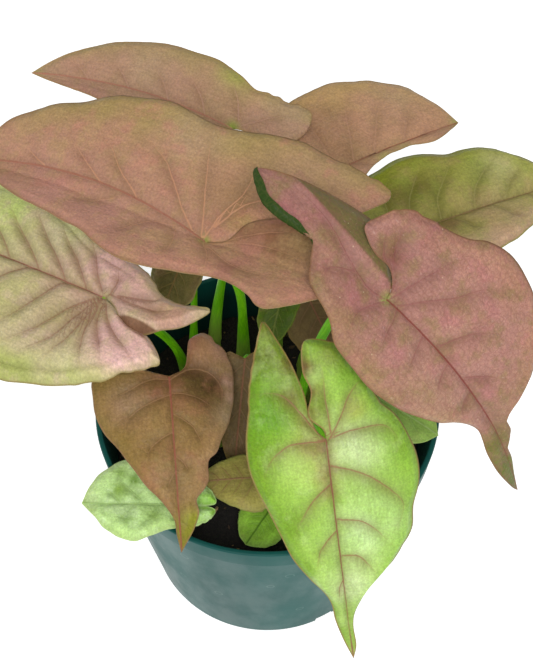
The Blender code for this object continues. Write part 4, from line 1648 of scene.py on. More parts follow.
BACK_RIGHT_SKIN = LeafSkin(
    field="#b4896b", outer_right="#b58b71", outer_left="#b59561", tip="#b48d69", vein="#b98c72",
    rib="#a46c56", hollow="#8f6d4c", rim="#9a7a50", under="#7f8a44", blotch="#a48a60", outer_start=0.4,
    hollow_shade_strength=0.15, vein_strength=0.4, crest_shading=0.05,
    patches=(
        Patch(-5, 11, 8, Tone.BRONZE_LIGHT, 0.7), Patch(-19, 13, 7, Tone.BRONZE_LIGHT, 0.7),
        Patch(-17, 38, 9, Tone.TAN, 0.5), Patch(5, 22, 3.5, Tone.STALK_GREEN, 0.9),
        Patch(4, 29, 3, Tone.MINT_DUSK, 0.7), Patch(0, 53, 2.5, Tone.MINT_DUSK, 0.8),
    ),
)
OLIVE_SKIN = LeafSkin(
    field="#9e9a50", outer_right="#bc997f", outer_left="#89902e", tip="#b2a474", vein="#a39a60",
    rib="#8c6f4c", hollow="#6c6628", rim="#808440", under="#7c8440", blotch="#8a9a3c", outer_start=0.25,
    hollow_shade_strength=0.2, lee_shade_strength=0.35, vein_strength=0.4,
    patches=(
        Patch(-11, 6, 7, Tone.MOSS, 0.8), Patch(-12, 17, 7, Tone.MOSS, 0.7),
        Patch(-22, 27, 7, Tone.TAN_DARK, 0.5), Patch(-14, 34, 8, Tone.OLIVE, 0.6),
        Patch(-11, 44, 8, Tone.STRAW, 0.7), Patch(3, 16, 6, Tone.BARK_OLIVE, 0.8),
        Patch(5, 38, 9, Tone.TAN, 0.7), Patch(3, 27, 6, Tone.TAN_ROSE, 0.6),
    ),
)
# The under colour is nearly black: painted shade on the underside of the folded lobe strip, whose own green
# is paler. tucked is painted shade on the tucked inner layer.
ROSE_SKIN = LeafSkin(
    field="#a07468", outer_right="#997658", outer_left="#a57862", tip="#85713c", vein="#8c5450",
    rib="#7c352c", hollow="#84534a", rim="#7f5a3c", under="#243c02", blotch="#857048", hollow_shade_strength=0.22,
    lee_shade_strength=0.4, crest_shading=0.09, vein_strength=0.5, blotch_strength=0.7, speck_strength=0.4,
    fleck="#c7a89c", fleck_strength=0.35, blush="#a8636a", blush_strength=0.35, net_strength=0.35,
    tip_start=0.6, roughness=0.52, tucked="#6c6238",
    patches=(
        Patch(6, -6, 8, Tone.PLUM, 0.7), Patch(-8, 20, 12, Tone.DUSTY_ROSE, 0.6),
        Patch(9, 28, 11, Tone.TAN_ROSE, 0.6), Patch(15, -4, 5, Tone.BRONZE_LIGHT, 0.8),
        Patch(-9, -9, 5, Tone.RUST_DARK, 0.8, Half.LEFT), Patch(-20, -7, 7, Tone.PLUM, 0.6, Half.LEFT),
        Patch(4, -24, 8, Tone.PLUM, 0.6, Half.RIGHT), Patch(3, -38, 7, Tone.PLUM, 0.7, Half.RIGHT),
        Patch(-25, 12, 8, Tone.DUSTY_ROSE, 0.5), Patch(0, 62, 8, Tone.BARK_OLIVE, 0.9),
        Patch(-1, 75, 14, Tone.OLIVE_DEEP, 1.3), Patch(10, 40, 7, Tone.TAN_DARK, 0.8),
        Patch(-15, 48, 7, Tone.BRONZE_LIGHT, 0.7), Patch(17, 20, 6, Tone.BRONZE_LIGHT, 0.6),
        Patch(-0.2, -0.6, 1.5, Tone.LEAF_LIME, 1.2),
    ),
)
# tucked is painted shade on the tucked inner margin of the upper lobe.
PALE_SKIN = LeafSkin(
    field="#bfb18b", outer_right="#c3c685", outer_left="#a6ac62", tip="#aebf66", vein="#93614f",
    rib="#965c4e", hollow="#8a6c50", rim="#857448", under="#8f9a5c", blotch="#b2b668", hollow_shade_strength=0.4,
    lee_shade_strength=0.35, vein_strength=0.5, blush="#cfaea4", blush_strength=0.35, tucked="#7d5c46",
    patches=(
        Patch(0, 4, 6, Tone.DUSTY_ROSE, 0.7), Patch(0, 17, 6, Tone.ROSE_TAN, 0.5),
        Patch(9, 3, 10, Tone.PINK_PALE, 1.5), Patch(5, -9, 9, Tone.PINK, 1.5, Half.RIGHT),
        Patch(3, -21, 9, Tone.ROSE_TAN, 1.2, Half.RIGHT),
        Patch(-12, -13, 9, Tone.PINK_PALE, 1.5, Half.LEFT), Patch(-8, -19, 6, Tone.PINK, 0.9, Half.LEFT),
        Patch(-9, 1, 5, Tone.TAN, 0.6), Patch(-12, 9, 6, Tone.TAN, 0.6), Patch(-9, 25, 8, Tone.STRAW, 0.6),
        Patch(-25, -1, 7, Tone.CREAM, 0.3), Patch(-14, 30, 9, Tone.OLIVE_LIGHT, 0.5),
        Patch(12, 43, 10, Tone.LIME_PALE, 0.8), Patch(14, 24, 7, Tone.CREAM, 0.7),
        Patch(0, -0.5, 1.8, Tone.STALK_GREEN, 0.9),
    ),
)
BROWN_SKIN = LeafSkin(
    field="#967549", outer_right="#876c38", outer_left="#a98560", tip="#918c34", vein="#a87e5c",
    rib="#a0584a", hollow="#6b4a2c", rim="#8f6c50", under="#6f6438", blotch="#80703a", hollow_shade_strength=0.15,
    lee_shade_strength=0.3, vein_strength=0.45, blush="#9c6650", blush_strength=0.4,
    patches=(
        # The hollow and brown patches on the left half are a painted shadow, cast into the hollow there by
        # the raised band along the margin.
        Patch(3, 2, 6, Tone.RUST_DARK, 0.8), Patch(-7, 0, 5.5, Tone.HOLLOW_SHADE, 0.9),
        Patch(-12, 3, 5.5, Tone.HOLLOW_SHADE_DARK, 0.9), Patch(-13, 9, 4, Tone.HOLLOW_SHADE, 0.9),
        Patch(-12, 15, 3, Tone.BROWN_SHADE, 0.8), Patch(-19, 2, 2.6, Tone.ROSE_TAN, 1.2),
        Patch(-19, 8, 2.6, Tone.ROSE_TAN, 1.2), Patch(-17, 14, 2.6, Tone.TAN, 1.1),
        Patch(-16, -8, 4.5, Tone.DUSTY_ROSE, 1.1), Patch(-8, -11, 6, Tone.ROSE_BROWN, 0.9),
        Patch(-16, 13, 4, Tone.TAN, 0.8), Patch(14, 8, 6, Tone.TAN_ROSE, 0.7),
        Patch(1, 33, 6, Tone.TAN_DARK, 0.6), Patch(-4, 46, 5, Tone.OLIVE_YELLOW, 1.0),
        Patch(-1, 51, 4, Tone.OLIVE_YELLOW, 1.0),
    ),
)
LIME_SKIN = LeafSkin(
    field="#93b84c", outer_right="#688f16", outer_left="#7fa834", tip="#94c048", vein="#96604c",
    rib="#8a4c40", hollow="#8a6a48", rim="#8c6e44", under="#7fa63c", blotch="#86ae34", outer_start=0.4,
    hollow_shade_strength=0.4, lee_shade_strength=0.3, vein_strength=0.65, blush="#bfd68c", blush_strength=0.25,
    rim_strength=0.85, roughness=0.45,
    patches=(
        Patch(1.5, 3, 3.5, Tone.RUST, 0.9), Patch(1.5, 9, 3.6, Tone.BRONZE, 0.95),
        Patch(1.2, 15, 2.5, Tone.BRONZE, 0.6), Patch(12, -26, 9, Tone.OLIVE_DEEP, 1.1),
        Patch(14, -12, 8, Tone.LEAF_DEEP, 1.1), Patch(7, -14, 3.5, Tone.BROWN_SHADE, 0.9),
        # The brown patches along the inner margins of both lobes are painted shade.
        Patch(6, -22, 3.5, Tone.BROWN_SHADE, 0.85), Patch(4.5, -6, 3, Tone.RUST_DARK, 0.8),
        Patch(9, -32, 5, Tone.MOSS, 0.8), Patch(-7, 4, 7, Tone.LIME_WHITE, 0.9),
        # The pale patch just ahead of the sinus on the left half is a painted highlight.
        Patch(-8, 27, 9, Tone.MINT_PALE, 0.8), Patch(-9, -7, 4, Tone.OLIVE_LIGHT, 0.6),
        Patch(3.5, -8, 2.6, Tone.BROWN_SHADE, 1.0, Half.LEFT), Patch(2.5, -14, 2.6, Tone.BROWN_SHADE, 1.0, Half.LEFT),
        Patch(3, -20, 2.6, Tone.BROWN_SHADE, 1.0, Half.LEFT), Patch(-5, -23, 4, Tone.OLIVE, 0.7, Half.LEFT),
        Patch(9, 6, 6, Tone.LIME_PALE, 0.4), Patch(5.5, 0, 3.5, Tone.BRONZE, 0.7),
        Patch(-1, 44, 7, Tone.LIME_WHITE, 0.6), Patch(0, 0, 1.3, Tone.LEAF_DEEP, 0.9),
    ),
)
MINT_SKIN = LeafSkin(
    field="#bddc92", outer_right="#c8e49e", outer_left="#bcdc88", tip="#c6de9c", vein="#9cbc70",
    rib="#a4c278", hollow="#83a352", rim="#b5d08c", under="#8aa860", blotch="#87a656", vein_strength=0.3,
    hollow_shade_strength=0.3, blotch_strength=0.5, speck_strength=0.05, blush="#d6ecb8", blush_strength=0.5,
    roughness=0.42,
    patches=(
        Patch(6, 13, 2.0, Tone.MINT_SHADE, 1.0), Patch(7.5, 18.5, 1.8, Tone.MINT_SHADE, 1.0),
        Patch(4, 23, 2.2, Tone.MINT_DUSK, 0.8), Patch(9, 9, 2, Tone.MINT_DUSK, 0.8),
        Patch(-4, 12, 2.2, Tone.MINT_DUSK, 0.8), Patch(-5, 19, 1.8, Tone.MINT_SHADE, 1.0),
        Patch(2, 8, 2, Tone.MINT_SOFT, 0.8), Patch(10, 23, 2, Tone.MINT_SOFT, 0.7),
        Patch(0, -4, 4.5, Tone.LEAF_LIME, 1.5),
    ),
)
SEEDLING_SKIN = LeafSkin(
    field="#9acb42", outer_right="#a6d650", outer_left="#a6d650", tip="#98c84a", vein="#8cb84c",
    rib="#4c7418", hollow="#6c982c", rim="#a8cc6a", under="#7c9c48", blotch="#628a2c", speck_strength=0.0,
)
SHADED_SKIN = LeafSkin(
    field="#a89c52", outer_right="#aaa654", outer_left="#a89e54", tip="#a09c4a", vein="#96704c",
    rib="#946c50", hollow="#6c6030", rim="#8c8c48", under="#6a6836", blotch="#7c7038",
)
TUCKED_SKIN = LeafSkin(
    field="#6a6034", outer_right="#5c5a2c", outer_left="#746038", tip="#6c6a34", vein="#86703f",
    rib="#7c6038", hollow="#4c4420", rim="#8c8450", under="#5a5830", blotch="#544a26", blotch_strength=0.6,
)
INNER_SKIN = LeafSkin(
    field="#77603e", outer_right="#766238", outer_left="#766238", tip="#6c6a2c", vein="#8c6c4c",
    rib="#8e5e46", hollow="#5e4a2a", rim="#80683c", under="#6a6434", blotch="#6c5a30",
)
SHADE_GREEN_SKIN = LeafSkin(
    field="#46600a", outer_right="#4e6c0a", outer_left="#4e6c0a", tip="#4a640c", vein="#66742a",
    rib="#6a7430", hollow="#424c10", rim="#66742a", under="#4c5a18", blotch="#465212", speck_strength=0.0,
)
SIDE_SKIN = LeafSkin(
    field="#94b656", outer_right="#98ba5c", outer_left="#94b658", tip="#94b654", vein="#94b062",
    rib="#9cb66c", hollow="#6f8c3c", rim="#94b062", under="#7c9c48", blotch="#748f40", speck_strength=0.0,
)

LEAVES = (
    Leaf(
        name="crown_leaf", slot="pink_brown_leaf", skin=CROWN_SKIN,
        sinus=(-17, -3, 166), heading=152, length=79,
        right=(
            ((1.5, -5), (5, -9), (9, -16), (17, -27), (26, -35)),
            ((33, -38.5), (36, -31), (36.5, -22), (37, -13), (35.5, -4.5), (33, 8), (32.5, 14), (34, 21),
             (35, 29), (33.5, 38), (31, 47), (26.5, 55), (23.5, 61.5), (19.5, 67), (13, 74)),
        ),
        left=(
            ((-2, -6), (-8, -9), (-12, -16), (-15, -26)),
            ((-12, -35), (-4, -38), (5, -37), (11, -32), (15, -28), (16, -24), (13.5, -20), (12, -15),
             (11.5, -9), (13, -1), (16, 8), (17.5, 16), (16, 23), (13, 31), (11.5, 40), (10, 49), (7.5, 60)),
        ),
        foot=(-8, 25), roll=-6, arch=10, lobe_drop=10, fold=20, droop=0.15, bow=5, lift=(0, 10),
        stalk_radius=1.5, quilt=0.8, vein_show=(1.0, 0.4),
        right_veins=(
            ((1, 1.5), (5, 3), (13, 6.5), (21.5, 10), (29, 13)),
            ((2, 5), (5.5, 9.5), (12.5, 16.5), (17.5, 22), (22, 32)),
            ((3, 22), (6.5, 26.5), (9.5, 31.5), (15, 37.5), (18.5, 42)),
            ((4, 33.5), (6.5, 38.5), (10.5, 45), (14.5, 51)), ((3.5, 51), (5.5, 57.5), (8.5, 64)),
            ((1, 0.5), (8.5, -1), (14.5, -3.5), (20.5, -4), (26, -3), (29, -1)),
            ((4.5, -1), (14, -6.5), (21, -18), (26.5, -27), (28.5, -34)),
        ),
        left_veins=(
            ((1, 10), (-0.5, 16.5), (-6.5, 21), (-13.5, 27.5)), ((0, 9), (-5.5, 7), (-12, 6.5)),
            ((2, 30), (-2, 38), (-6, 43)), ((-0.5, 0), (-4.5, -3.5), (-9.5, -6)),
            ((-0.5, -0.5), (2, -8.5), (3.5, -15.5), (3.5, -24), (1, -31.5)),
            ((-1, -1), (-5, -9.5), (-6, -17), (-4, -26)), ((1, -4), (5, -11), (8.5, -18.5), (10.5, -26.5)),
        ),
    ),
    Leaf(
        name="back_left_leaf", slot="pink_brown_leaf", skin=DUSTY_SKIN,
        sinus=(-11, 59, 148), heading=157, length=72,
        right=(
            ((0.4, -4), (-0.2, -8), (-0.5, -14), (3.5, -20)),
            ((9, -22), (14.5, -20), (14.5, -13.5), (15, -8), (14.2, -2), (18, 5), (21, 12), (21.5, 21),
             (22, 31), (20, 41), (17, 51), (11.5, 59), (6, 66)),
        ),
        left=(
            ((0.4, -4), (0.8, -8), (0.8, -13)),
            ((6, -17), (15, -11), (16, 7), (11, 26), (4, 46), (2, 61)),
        ),
        foot=(-18, 34), slope=2, roll=-12, arch=10, fold=12, bow=3, quilt=1.0,
        right_veins=(
            ((2, 10), (8, 14.5), (13, 21)), ((2, 22.5), (8, 27), (13, 33)), ((2, 36), (7, 41), (11, 47)),
            ((1.5, 50), (5, 55), (7, 60)), ((3, -1), (9.5, 2), (15, 6.5)),
            ((2, -3), (7.5, -10.5), (11, -17)),
        ),
        left_veins=(
            ((0, 12), (-6, 16), (-10, 22)), ((0, 26), (-4, 31), (-6, 38)), ((0, 1), (-6, 2), (-12, 6)),
            ((-1, -2), (-4, -8), (-8, -11)),
        ),
    ),
    Leaf(
        name="back_right_leaf", slot="pink_brown_leaf", skin=BACK_RIGHT_SKIN,
        sinus=(17, 44, 142), heading=33, length=53,
        right=(((5, -6),), ((14, -9), (16, -2), (8, 10), (3.5, 20), (2.5, 31), (5, 40), (2.5, 48))),
        left=(
            ((6, -5),),
            ((14, -8), (26, -2), (31, 7), (31.5, 17), (30.5, 27), (27, 36), (21, 44), (15, 48), (7, 51.5)),
        ),
        foot=(3, 30), roll=-4, arch=10, fold=14, droop=0.1, quilt=0.8,
        right_veins=(((0, 12), (5, 15), (8, 19)), ((0, 24), (2.5, 29), (4, 34)), ((1, 0), (8, 0), (13, 3))),
        left_veins=(
            ((-1, 12), (-9.5, 16.5), (-19, 21.5), (-26, 28)), ((-1, 20), (-11, 28), (-20, 36)),
            ((-1, 31.5), (-9, 39), (-13, 43)), ((-1, 5), (-11.5, 7), (-20, 8), (-27, 12)),
            ((-2, 0), (-10, -2), (-18, -3)),
        ),
    ),
    Leaf(
        name="right_leaf", slot="olive_green_leaf", skin=OLIVE_SKIN,
        sinus=(41, 31, 130), heading=27, length=64,
        right=(((5, -5),), ((14, -5), (17, 6), (17, 27), (10, 47))),
        left=(
            ((3, -6),),
            ((9, -10), (16, -9), (24, 0), (26.5, 9.5), (27.2, 17), (24.5, 25), (22.5, 31), (22, 42),
             (16, 50.5), (10, 56.5)),
        ),
        foot=(12, 22), slope=-2, roll=4, fold=8, quilt=1.5,
        right_veins=(
            ((0, 18.5), (4, 21.5), (11, 24)), ((0, 33), (4, 36), (11, 39)), ((0, 8), (6, 8), (13, 12)),
            ((0, 47), (4, 50), (7, 54)), ((1, -1), (7, -2), (13, 0)),
        ),
        left_veins=(
            ((-1, 5.5), (-9, 8), (-15.5, 13.5), (-22, 20)),
            ((-1, 15), (-7.5, 17.5), (-13.5, 23.5), (-20, 31)),
            ((-0.5, 27.5), (-6.5, 31), (-12.5, 38.5), (-17, 45.5)), ((-0.5, 39), (-6, 44.5), (-10.5, 51.5)),
            ((-1, 0), (-8, 0), (-16, 3), (-21, 8)), ((-1, -1), (-6, -4), (-13, -5)),
        ),
    ),
    Leaf(
        name="front_right_leaf", slot="rose_leaf", skin=ROSE_SKIN,
        sinus=(31, -23, 166), heading=-32, length=86,
        right=(
            ((-5, -3), (-10, -8), (-12.5, -15), (-10, -25), (-4.5, -38)),
            ((2, -48), (6.5, -43), (7.5, -37), (6, -30), (5, -25), (8.5, -21.5), (12.5, -18), (14, -13),
             (15.5, -7), (18.5, -1), (18.7, 9), (18, 18), (16, 25.5), (13, 32), (9.5, 38), (6, 42),
             (3, 46.5), (1.5, 51), (2, 56), (3, 62), (3, 71), (1.7, 80)),
        ),
        left=(
            ((3.5, -2), (6, -6), (5.5, -11), (6.5, -15.5)),
            ((8.5, -18.5), (13, -17.5), (17, -16), (20.5, -13), (22, -9.5), (24.5, -3.5), (28, 4), (32, 9),
             (34.5, 16), (34.5, 25), (33, 32), (28.5, 41), (21, 49), (16, 51.5), (10, 52.5), (7, 55),
             (6.5, 60), (3.5, 64), (3, 71), (1.5, 79)),
        ),
        foot=(8, -11), slope=-42, roll=24, arch=36, lobe_drop=22, fold=4, droop=0.1, bow=-3, twist=35,
        flap=4, stalk_radius=1.5, quilt=1.0, tuck=0.7, tuck_from=3.2,
        right_veins=(
            ((0.5, -1), (2, -6), (1, -13.5), (-1.5, -24), (-2, -34), (0, -43)),
            ((0.5, 0), (5, -2.5), (9, -3.5), (13.5, -2)), ((-1, 3.5), (3.5, 5.5), (10.5, 8)),
            ((-2.5, 14), (2.5, 16), (9, 19)), ((-3, 26), (0.5, 27), (6, 30)),
            ((-3, 38), (0.5, 39), (4, 42)), ((2, -12), (6, -17), (10, -16)),
        ),
        left_veins=(
            ((-5.5, -4.5), (-7, -9), (-9.5, -12), (-12.5, -15)),
            ((-3, -2), (-10.5, -8), (-14, -10), (-19, -12)), ((-1.5, 0.5), (-8.5, 2), (-16, 4), (-24, 6)),
            ((-1.5, 3.5), (-7.5, 7.5), (-14.5, 13), (-22.5, 17.5), (-28, 24)),
            ((-3.5, 20), (-11.5, 24), (-18.5, 30)), ((-3.5, 33), (-8, 37), (-12, 42)),
        ),
        swells=(Swell(-11, -8, 5, -1.6), Swell(3, -24, 5, 1.0), Swell(13, -13, 4.5, 1.2)),
    ),
    Leaf(
        name="left_leaf", slot="pale_pink_green_leaf", skin=PALE_SKIN,
        sinus=(-47, 2, 136), heading=151, length=74,
        right=(
            ((-2.5, -5), (-6, -9), (-8, -13), (-6.5, -17), (-4, -21.5), (-0.5, -26.5)),
            ((7.2, -31), (6.6, -25), (5.8, -20), (6.8, -15), (9, -12), (11, -8), (13, -2.5), (14, 3),
             (15, 9), (18, 17), (23, 29), (27.5, 44), (20, 64)),
        ),
        left=(
            ((1.2, -3), (3, -7), (5, -11), (5.5, -14), (6.5, -19)),
            ((11, -25), (14, -23.5), (17, -21), (20, -17.5), (24, -14), (27, -9), (30, -3.5), (33, 5),
             (35.5, 14), (34.5, 25), (30, 37), (15, 60)),
        ),
        foot=(-27, 18), slope=-2, roll=-8, fold=4, lift=(9, 0), quilt=2.6, tuck=1.0, tuck_from=4.0,
        margin_vein=4.5,
        right_veins=(
            ((1.5, 2), (5, 5.5), (8.5, 8), (12.5, 11.5), (16, 15)),
            ((0.5, 7), (7, 14), (11, 19.5), (17, 27)), ((0.5, 14.5), (5.5, 20.5), (10.5, 27.5), (18, 36)),
            ((0.5, 24), (5.5, 30.5), (10.5, 38), (16, 45)), ((0.5, 35), (5.5, 41), (10, 49)),
            ((0.5, 47), (4, 53), (7, 59)), ((1, -1.5), (0, -7.5), (0, -12), (1.5, -19.5), (4, -25.5)),
            ((1, -1), (5, -1.5), (10, 1)), ((1, -4.5), (2, -11), (4, -16), (5, -21)),
        ),
        left_veins=(
            ((0, 11), (-2, 14.5), (-7, 17), (-11.5, 19), (-17.5, 21.5), (-25, 24)),
            ((-0.5, 1), (-5, 5.5), (-10, 8.5), (-15, 11), (-22, 15.5), (-28, 20)),
            ((-1, 0.5), (-5.5, 3), (-10.5, 4.5), (-16.5, 6), (-21, 8.5), (-28.5, 13.5)),
            ((-1.5, 0.5), (-9, 1.5), (-14, 2), (-22, 4), (-28, 5)),
            ((-2, 0), (-8, -0.5), (-13, -1), (-19, -3.5), (-24, -7)),
            ((-2.5, -1), (-8, -2.5), (-12, -5), (-16, -8.5), (-20, -11.5)),
            ((-2, -1.5), (-6.5, -5), (-10, -9.5), (-13, -15), (-16, -20)),
            ((0, 26), (-5, 31), (-12, 36), (-18, 40)), ((0, 42), (-4, 47), (-9, 52)),
        ),
        swells=(Swell(4, -9, 7, 1.5), Swell(9, 7, 4, 0.8), Swell(-12, -14, 5, 1.2), Swell(-7, 4, 4, -1.0)),
    ),
    Leaf(
        name="tucked_leaf", slot="olive_brown_leaf", skin=TUCKED_SKIN,
        sinus=(-26, 33, 118), heading=-120, length=22,
        right=(((2, -2),), ((5, -3), (9, 3), (8, 12), (3, 19))),
        left=(((2, -2),), ((5, -3), (8, 3), (8, 12), (3, 19))),
        foot=(-25, 29), slope=-35, arch=15, fold=4, wave=0.3, stalk_radius=1.2, grid=SMALL,
    ),
    Leaf(
        name="front_left_leaf", slot="olive_brown_leaf", skin=BROWN_SKIN,
        sinus=(-30, -5, 106), heading=-84, length=54,
        right=(
            ((6, -2),),
            ((13, -5), (22, -2), (23.5, 3.5), (22.5, 12), (18, 20), (13.5, 27), (8, 35), (4, 40),
             (1.5, 44.5), (1, 49)),
        ),
        left=(
            ((5, -3),),
            ((7, -12), (11, -15), (15, -12), (18.5, -7.5), (20, -1), (19.5, 6.5), (17.5, 14.5), (14.5, 21),
             (12.5, 25), (10, 27.5), (9.5, 33), (8, 36), (5.5, 39), (6, 43), (4.5, 47), (2, 51)),
        ),
        foot=(-16, -4), slope=-12, roll=-5, arch=12, droop=0.15, twist=30, quilt=0.8,
        right_veins=(
            ((0.5, 1), (6, 1), (12, 3.5), (17, 6), (19, 10)),
            ((0, 6), (6.5, 8.5), (11, 11), (14, 14.5), (13, 19.5)),
            ((0, 18), (4, 20), (7.5, 23.5), (8.5, 28)), ((0, 30), (2, 33), (3, 37)),
        ),
        left_veins=(
            ((-0.5, 1), (-6, -2), (-11, -2), (-14, 0), (-16, 4), (-15.5, 9), (-14, 18)),
            ((0, 5.5), (-4.5, 6), (-9, 7.5), (-12.5, 11), (-14, 14.5)),
            ((0, 12), (-3.5, 14.5), (-6.5, 17.5), (-9.5, 25.5)), ((0, 25), (-3, 28.5), (-4.5, 32.5)),
            ((0, -0.5), (-5, -6), (-9, -10)),
        ),
        swells=(Swell(-11, 3, 5.5, -2.2), Swell(-18, 3, 4, 1.2), Swell(-10, -9, 4.5, 1.2)),
    ),
    Leaf(
        name="front_leaf", slot="lime_leaf", skin=LIME_SKIN,
        sinus=(16, -43, 130), heading=-76, length=72,
        right=(
            ((2.2, -3), (3.4, -8), (3.8, -14), (5.5, -22), (8, -29)),
            ((11, -35), (14.5, -28), (17.5, -20), (19.5, -12), (21.5, -4), (22.3, 3.5), (21, 10), (18, 20),
             (15, 31), (10, 41), (6.5, 46.5), (5, 50.5), (4.3, 56), (2.5, 64)),
        ),
        left=(
            ((-0.5, -3), (-4, -7.5), (-2.2, -14), (-3.5, -20)),
            ((-1.5, -27.5), (6, -26), (9, -22.5), (12.5, -17), (15, -12), (16.5, -7.5), (20.5, -3),
             (23, 1.5), (24.5, 6.5), (25.5, 13), (25, 19), (22.5, 25.5), (21.3, 32), (17.5, 37), (14.5, 41),
             (8.5, 45.5), (4, 50.5), (1.5, 55), (0.8, 60), (1.2, 67)),
        ),
        foot=(2, -14), slope=-47, arch=22, lobe_drop=18, droop=0.15, bow=0.8, stalk_radius=1.5, lift=(0, 6),
        quilt=1.6,
        right_veins=(
            ((0.5, 0), (3.5, -4.5), (6, -9), (9, -13.5), (12.5, -15.5), (17, -16)),
            ((0, 0.5), (7.5, -0.5), (11.5, 0), (16, 3), (18.5, 7)),
            ((0, 12.5), (3.5, 14.5), (7, 17.5), (12.5, 24.5)),
            ((0, 26.5), (3, 28.5), (6.5, 32.5), (8, 36.5)), ((0, 42), (2, 45), (3, 49)),
        ),
        left_veins=(
            ((-1, 0), (-5, -6), (-8, -11), (-11, -14), (-14.5, -14)),
            ((-1.5, -1.5), (-1.5, -8), (-1.5, -13.5), (-1.5, -20.5)),
            ((-1, 0), (-5.5, -1), (-10, -1), (-16, -0.5), (-19, 2), (-20.5, 6)),
            ((0, 7.5), (-6.5, 10.5), (-12, 14.5), (-18.5, 22), (-18.5, 26), (-16, 30)),
            ((0, 23.5), (-6, 25.5), (-10, 29), (-13.5, 33.5)), ((0, 35), (-4, 36), (-6.5, 39), (-8.5, 42)),
        ),
        swells=(Swell(-4.5, -17, 4, 1.2), Swell(-1.5, -11, 2.5, -1.2), Swell(9, -20, 6, -0.8)),
    ),
    Leaf(
        name="rim_leaf", slot="mint_leaf", skin=MINT_SKIN,
        sinus=(-22, -40, 88.6), heading=178, length=34,
        right=(((0.1, -4),), ((1.2, -6.5), (4.5, -5.5), (7.5, -2.5), (15, 7), (17, 18), (12, 28), (6, 32))),
        left=(((0.1, -4),), ((1.2, -6.5), (4.5, -5), (6.5, -1), (8, 7), (12, 17), (9, 25), (4, 30))),
        foot=(-14, -20), slope=1, roll=-3, arch=6, wave=0.3, droop=0.08, stalk_radius=1.1, grid=MIDDLE,
        quilt=1.2,
        right_veins=(
            ((0, 8), (5.5, 11.5), (11, 16)), ((0, 15), (4.5, 19.5), (8, 24)), ((0, 22), (3, 25), (5, 28)),
            ((0, 2), (6, 4), (11, 8)),
        ),
        left_veins=(
            ((0, 10), (-5.5, 13.5), (-9.5, 17)), ((0, 17.5), (-4, 20.5), (-7, 24)),
            ((0, 3), (-4, 5), (-7, 9)),
        ),
    ),
    Leaf(
        name="seedling_leaf", slot="mint_leaf", skin=SEEDLING_SKIN,
        sinus=(1, -32, 72), heading=-124, length=14,
        right=(((1, -1),), ((4, -2), (8, 1), (8, 6), (4, 12))),
        left=(((1, -1),), ((4, -1), (8, 4), (7, 10), (3, 13))),
        foot=(4, -26), slope=-4, wave=0.2, stalk_radius=0.9, grid=SMALL, quilt=0.3,
    ),
    Leaf(
        name="olive_leaf", slot="olive_brown_leaf", skin=SHADED_SKIN,
        sinus=(-3, -30, 88), heading=181, length=19,
        right=(((2, -3),), ((6, -4), (9, 3), (8, 9), (5, 15))),
        left=(((2, -3),), ((7, -5), (11, -1), (10, 6), (5, 14))),
        foot=(-5, -18), slope=-4, wave=0.3, stalk_radius=1.0, grid=SMALL, quilt=0.3,
    ),
    Leaf(
        name="inner_leaf", slot="olive_brown_leaf", skin=INNER_SKIN,
        sinus=(-7, 6, 100), heading=-98, length=38,
        right=(((3, -1),), ((6, -1), (9, 7), (8, 18), (4, 30))),
        left=(((2, -2),), ((6, -3), (8, 6), (7, 18), (3, 31))),
        foot=(-2, 14), slope=-42, arch=8, fold=4, wave=0.3, stalk_radius=1.1, grid=SMALL, quilt=0.3,
    ),
    Leaf(
        name="shade_leaf", slot="olive_green_leaf", skin=SHADE_GREEN_SKIN,
        sinus=(5, 13, 128), heading=-106, length=20,
        right=(((2, -1),), ((5, -1), (6, 6), (5, 14))),
        left=(((2, -1),), ((5, -1), (6, 6), (4, 14))),
        foot=(-1, 22), slope=-30, arch=15, fold=4, wave=0.2, stalk_radius=1.1, grid=SMALL, quilt=0.3,
    ),
    Leaf(
        name="under_leaf", slot="olive_brown_leaf", skin=INNER_SKIN,
        sinus=(13, 20, 112), heading=-56, length=26,
        right=(((3, -2),), ((8, -2), (11, 4), (10, 13), (5, 22))),
        left=(((3, -1),), ((6, -2), (8, 7), (7, 17), (3, 23))),
        foot=(13, 13), slope=-35, arch=15, fold=4, wave=0.3, stalk_radius=1.1, grid=SMALL, quilt=0.3,
    ),
    Leaf(
        name="side_leaf", slot="mint_leaf", skin=SIDE_SKIN,
        sinus=(29, -4, 98), heading=-28, length=28,
        right=(((3, -2),), ((7, -3), (12, 5), (11, 16), (6, 24))),
        left=(((3, -2),), ((7, -3), (11, 5), (10, 16), (5, 24))),
        foot=(17, 1), slope=-8, arch=15, fold=4, wave=0.3, stalk_radius=1.1, grid=SMALL, quilt=0.4,
    ),
)


WHITE = (1.0, 1.0, 1.0, 1.0)


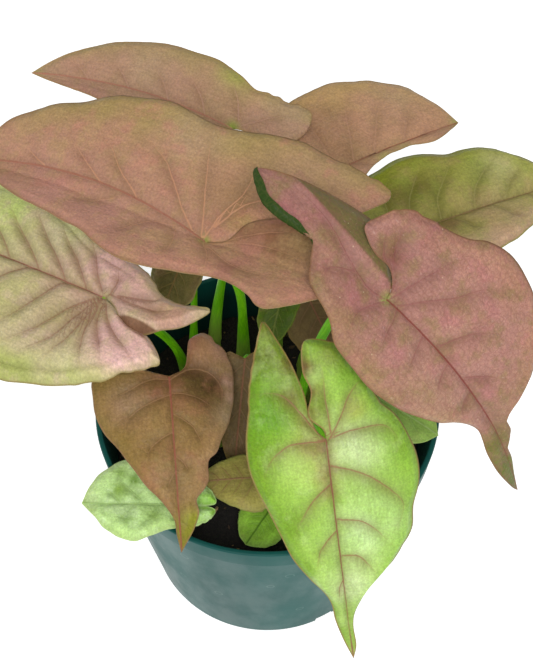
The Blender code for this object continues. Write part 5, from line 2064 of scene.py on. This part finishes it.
@dataclass
class Studio:
    """A plain pale floor, soft light and the photograph's view, in metres and degrees."""

    camera_spot: tuple[float, float, float] = (-0.0003, -0.2332, 0.4307)
    camera_pitch: float = 37.0
    lens: float = 70.27
    sensor_width: float = 36.0
    target: tuple[float, float, float] = (0.0, 0.0, 0.1)
    ambient: float = 0.42
    key_power: float = 9.5
    fill_power: float = 1.5
    floor_colour: tuple[float, float, float, float] = (0.93, 0.93, 0.93, 1.0)
    floor_glow: float = 0.5
    floor_reach: float = 9.0
    floor_level: float = -0.0002

    def build(self) -> None:
        """Set the floor, the lights, the surroundings and the camera."""
        self.floor()
        self.light("key", (0.05, -0.75, 1.0), 0.6, self.key_power)
        self.light("fill", (-0.9, 0.0, 0.6), 0.8, self.fill_power)
        self.surroundings()
        self.camera()
        view = bpy.context.scene.view_settings
        view.view_transform = "Standard"
        view.look = "None"

    def floor(self) -> None:
        """A wide pale floor."""
        made, _, shader = new_material("pale_floor")
        set_even(
            shader,
            {
                "Base Color": self.floor_colour,
                "Roughness": 0.9,
                "Emission Color": WHITE,
                "Emission Strength": self.floor_glow,
            },
        )
        mesh = bpy.data.meshes.new("floor")
        corners = [(-1, -1), (1, -1), (1, 1), (-1, 1)]
        spots = [(x * self.floor_reach, y * self.floor_reach, self.floor_level) for x, y in corners]
        mesh.from_pydata(spots, [], [(0, 1, 2, 3)])
        add_piece("floor", mesh, made)

    def light(self, name: str, spot: tuple[float, float, float], size: float, power: float) -> None:
        """A square soft light that faces the plant."""
        lamp = bpy.data.lights.new(name, "AREA")
        lamp.energy = power
        lamp.size = size
        obj = add_object(name, lamp)
        obj.location = spot
        obj.rotation_euler = (Vector(self.target) - Vector(spot)).to_track_quat("-Z", "Y").to_euler()

    def surroundings(self) -> None:
        """Plain white surroundings."""
        world = bpy.data.worlds.new("white_room")
        world.use_nodes = True
        back = world.node_tree.nodes["Background"]
        set_even(back, {"Color": WHITE, "Strength": self.ambient})
        bpy.context.scene.world = world

    def camera(self) -> None:
        """The camera, at the photograph's height and tilt."""
        lens = bpy.data.cameras.new("camera")
        lens.lens = self.lens
        lens.sensor_width = self.sensor_width
        lens.clip_start = 0.01
        obj = add_object("camera", lens)
        obj.location = self.camera_spot
        obj.rotation_euler = (math.radians(self.camera_pitch), 0.0, 0.0)
        bpy.context.scene.camera = obj


def main() -> None:
    """Build the studio and dress the whole plant."""
    logging.basicConfig(level=logging.INFO, format="%(message)s")
    finishes = Finishes()
    pot = Pot()
    pot.build()
    Soil(pot).build()
    stalk_green = StalkSkin().material()
    for leaf in LEAVES:
        leaf.build_blade(finishes)
        Stalk(leaf).build(stalk_green)
    Studio().build()


if __name__ == "__main__":
    main()
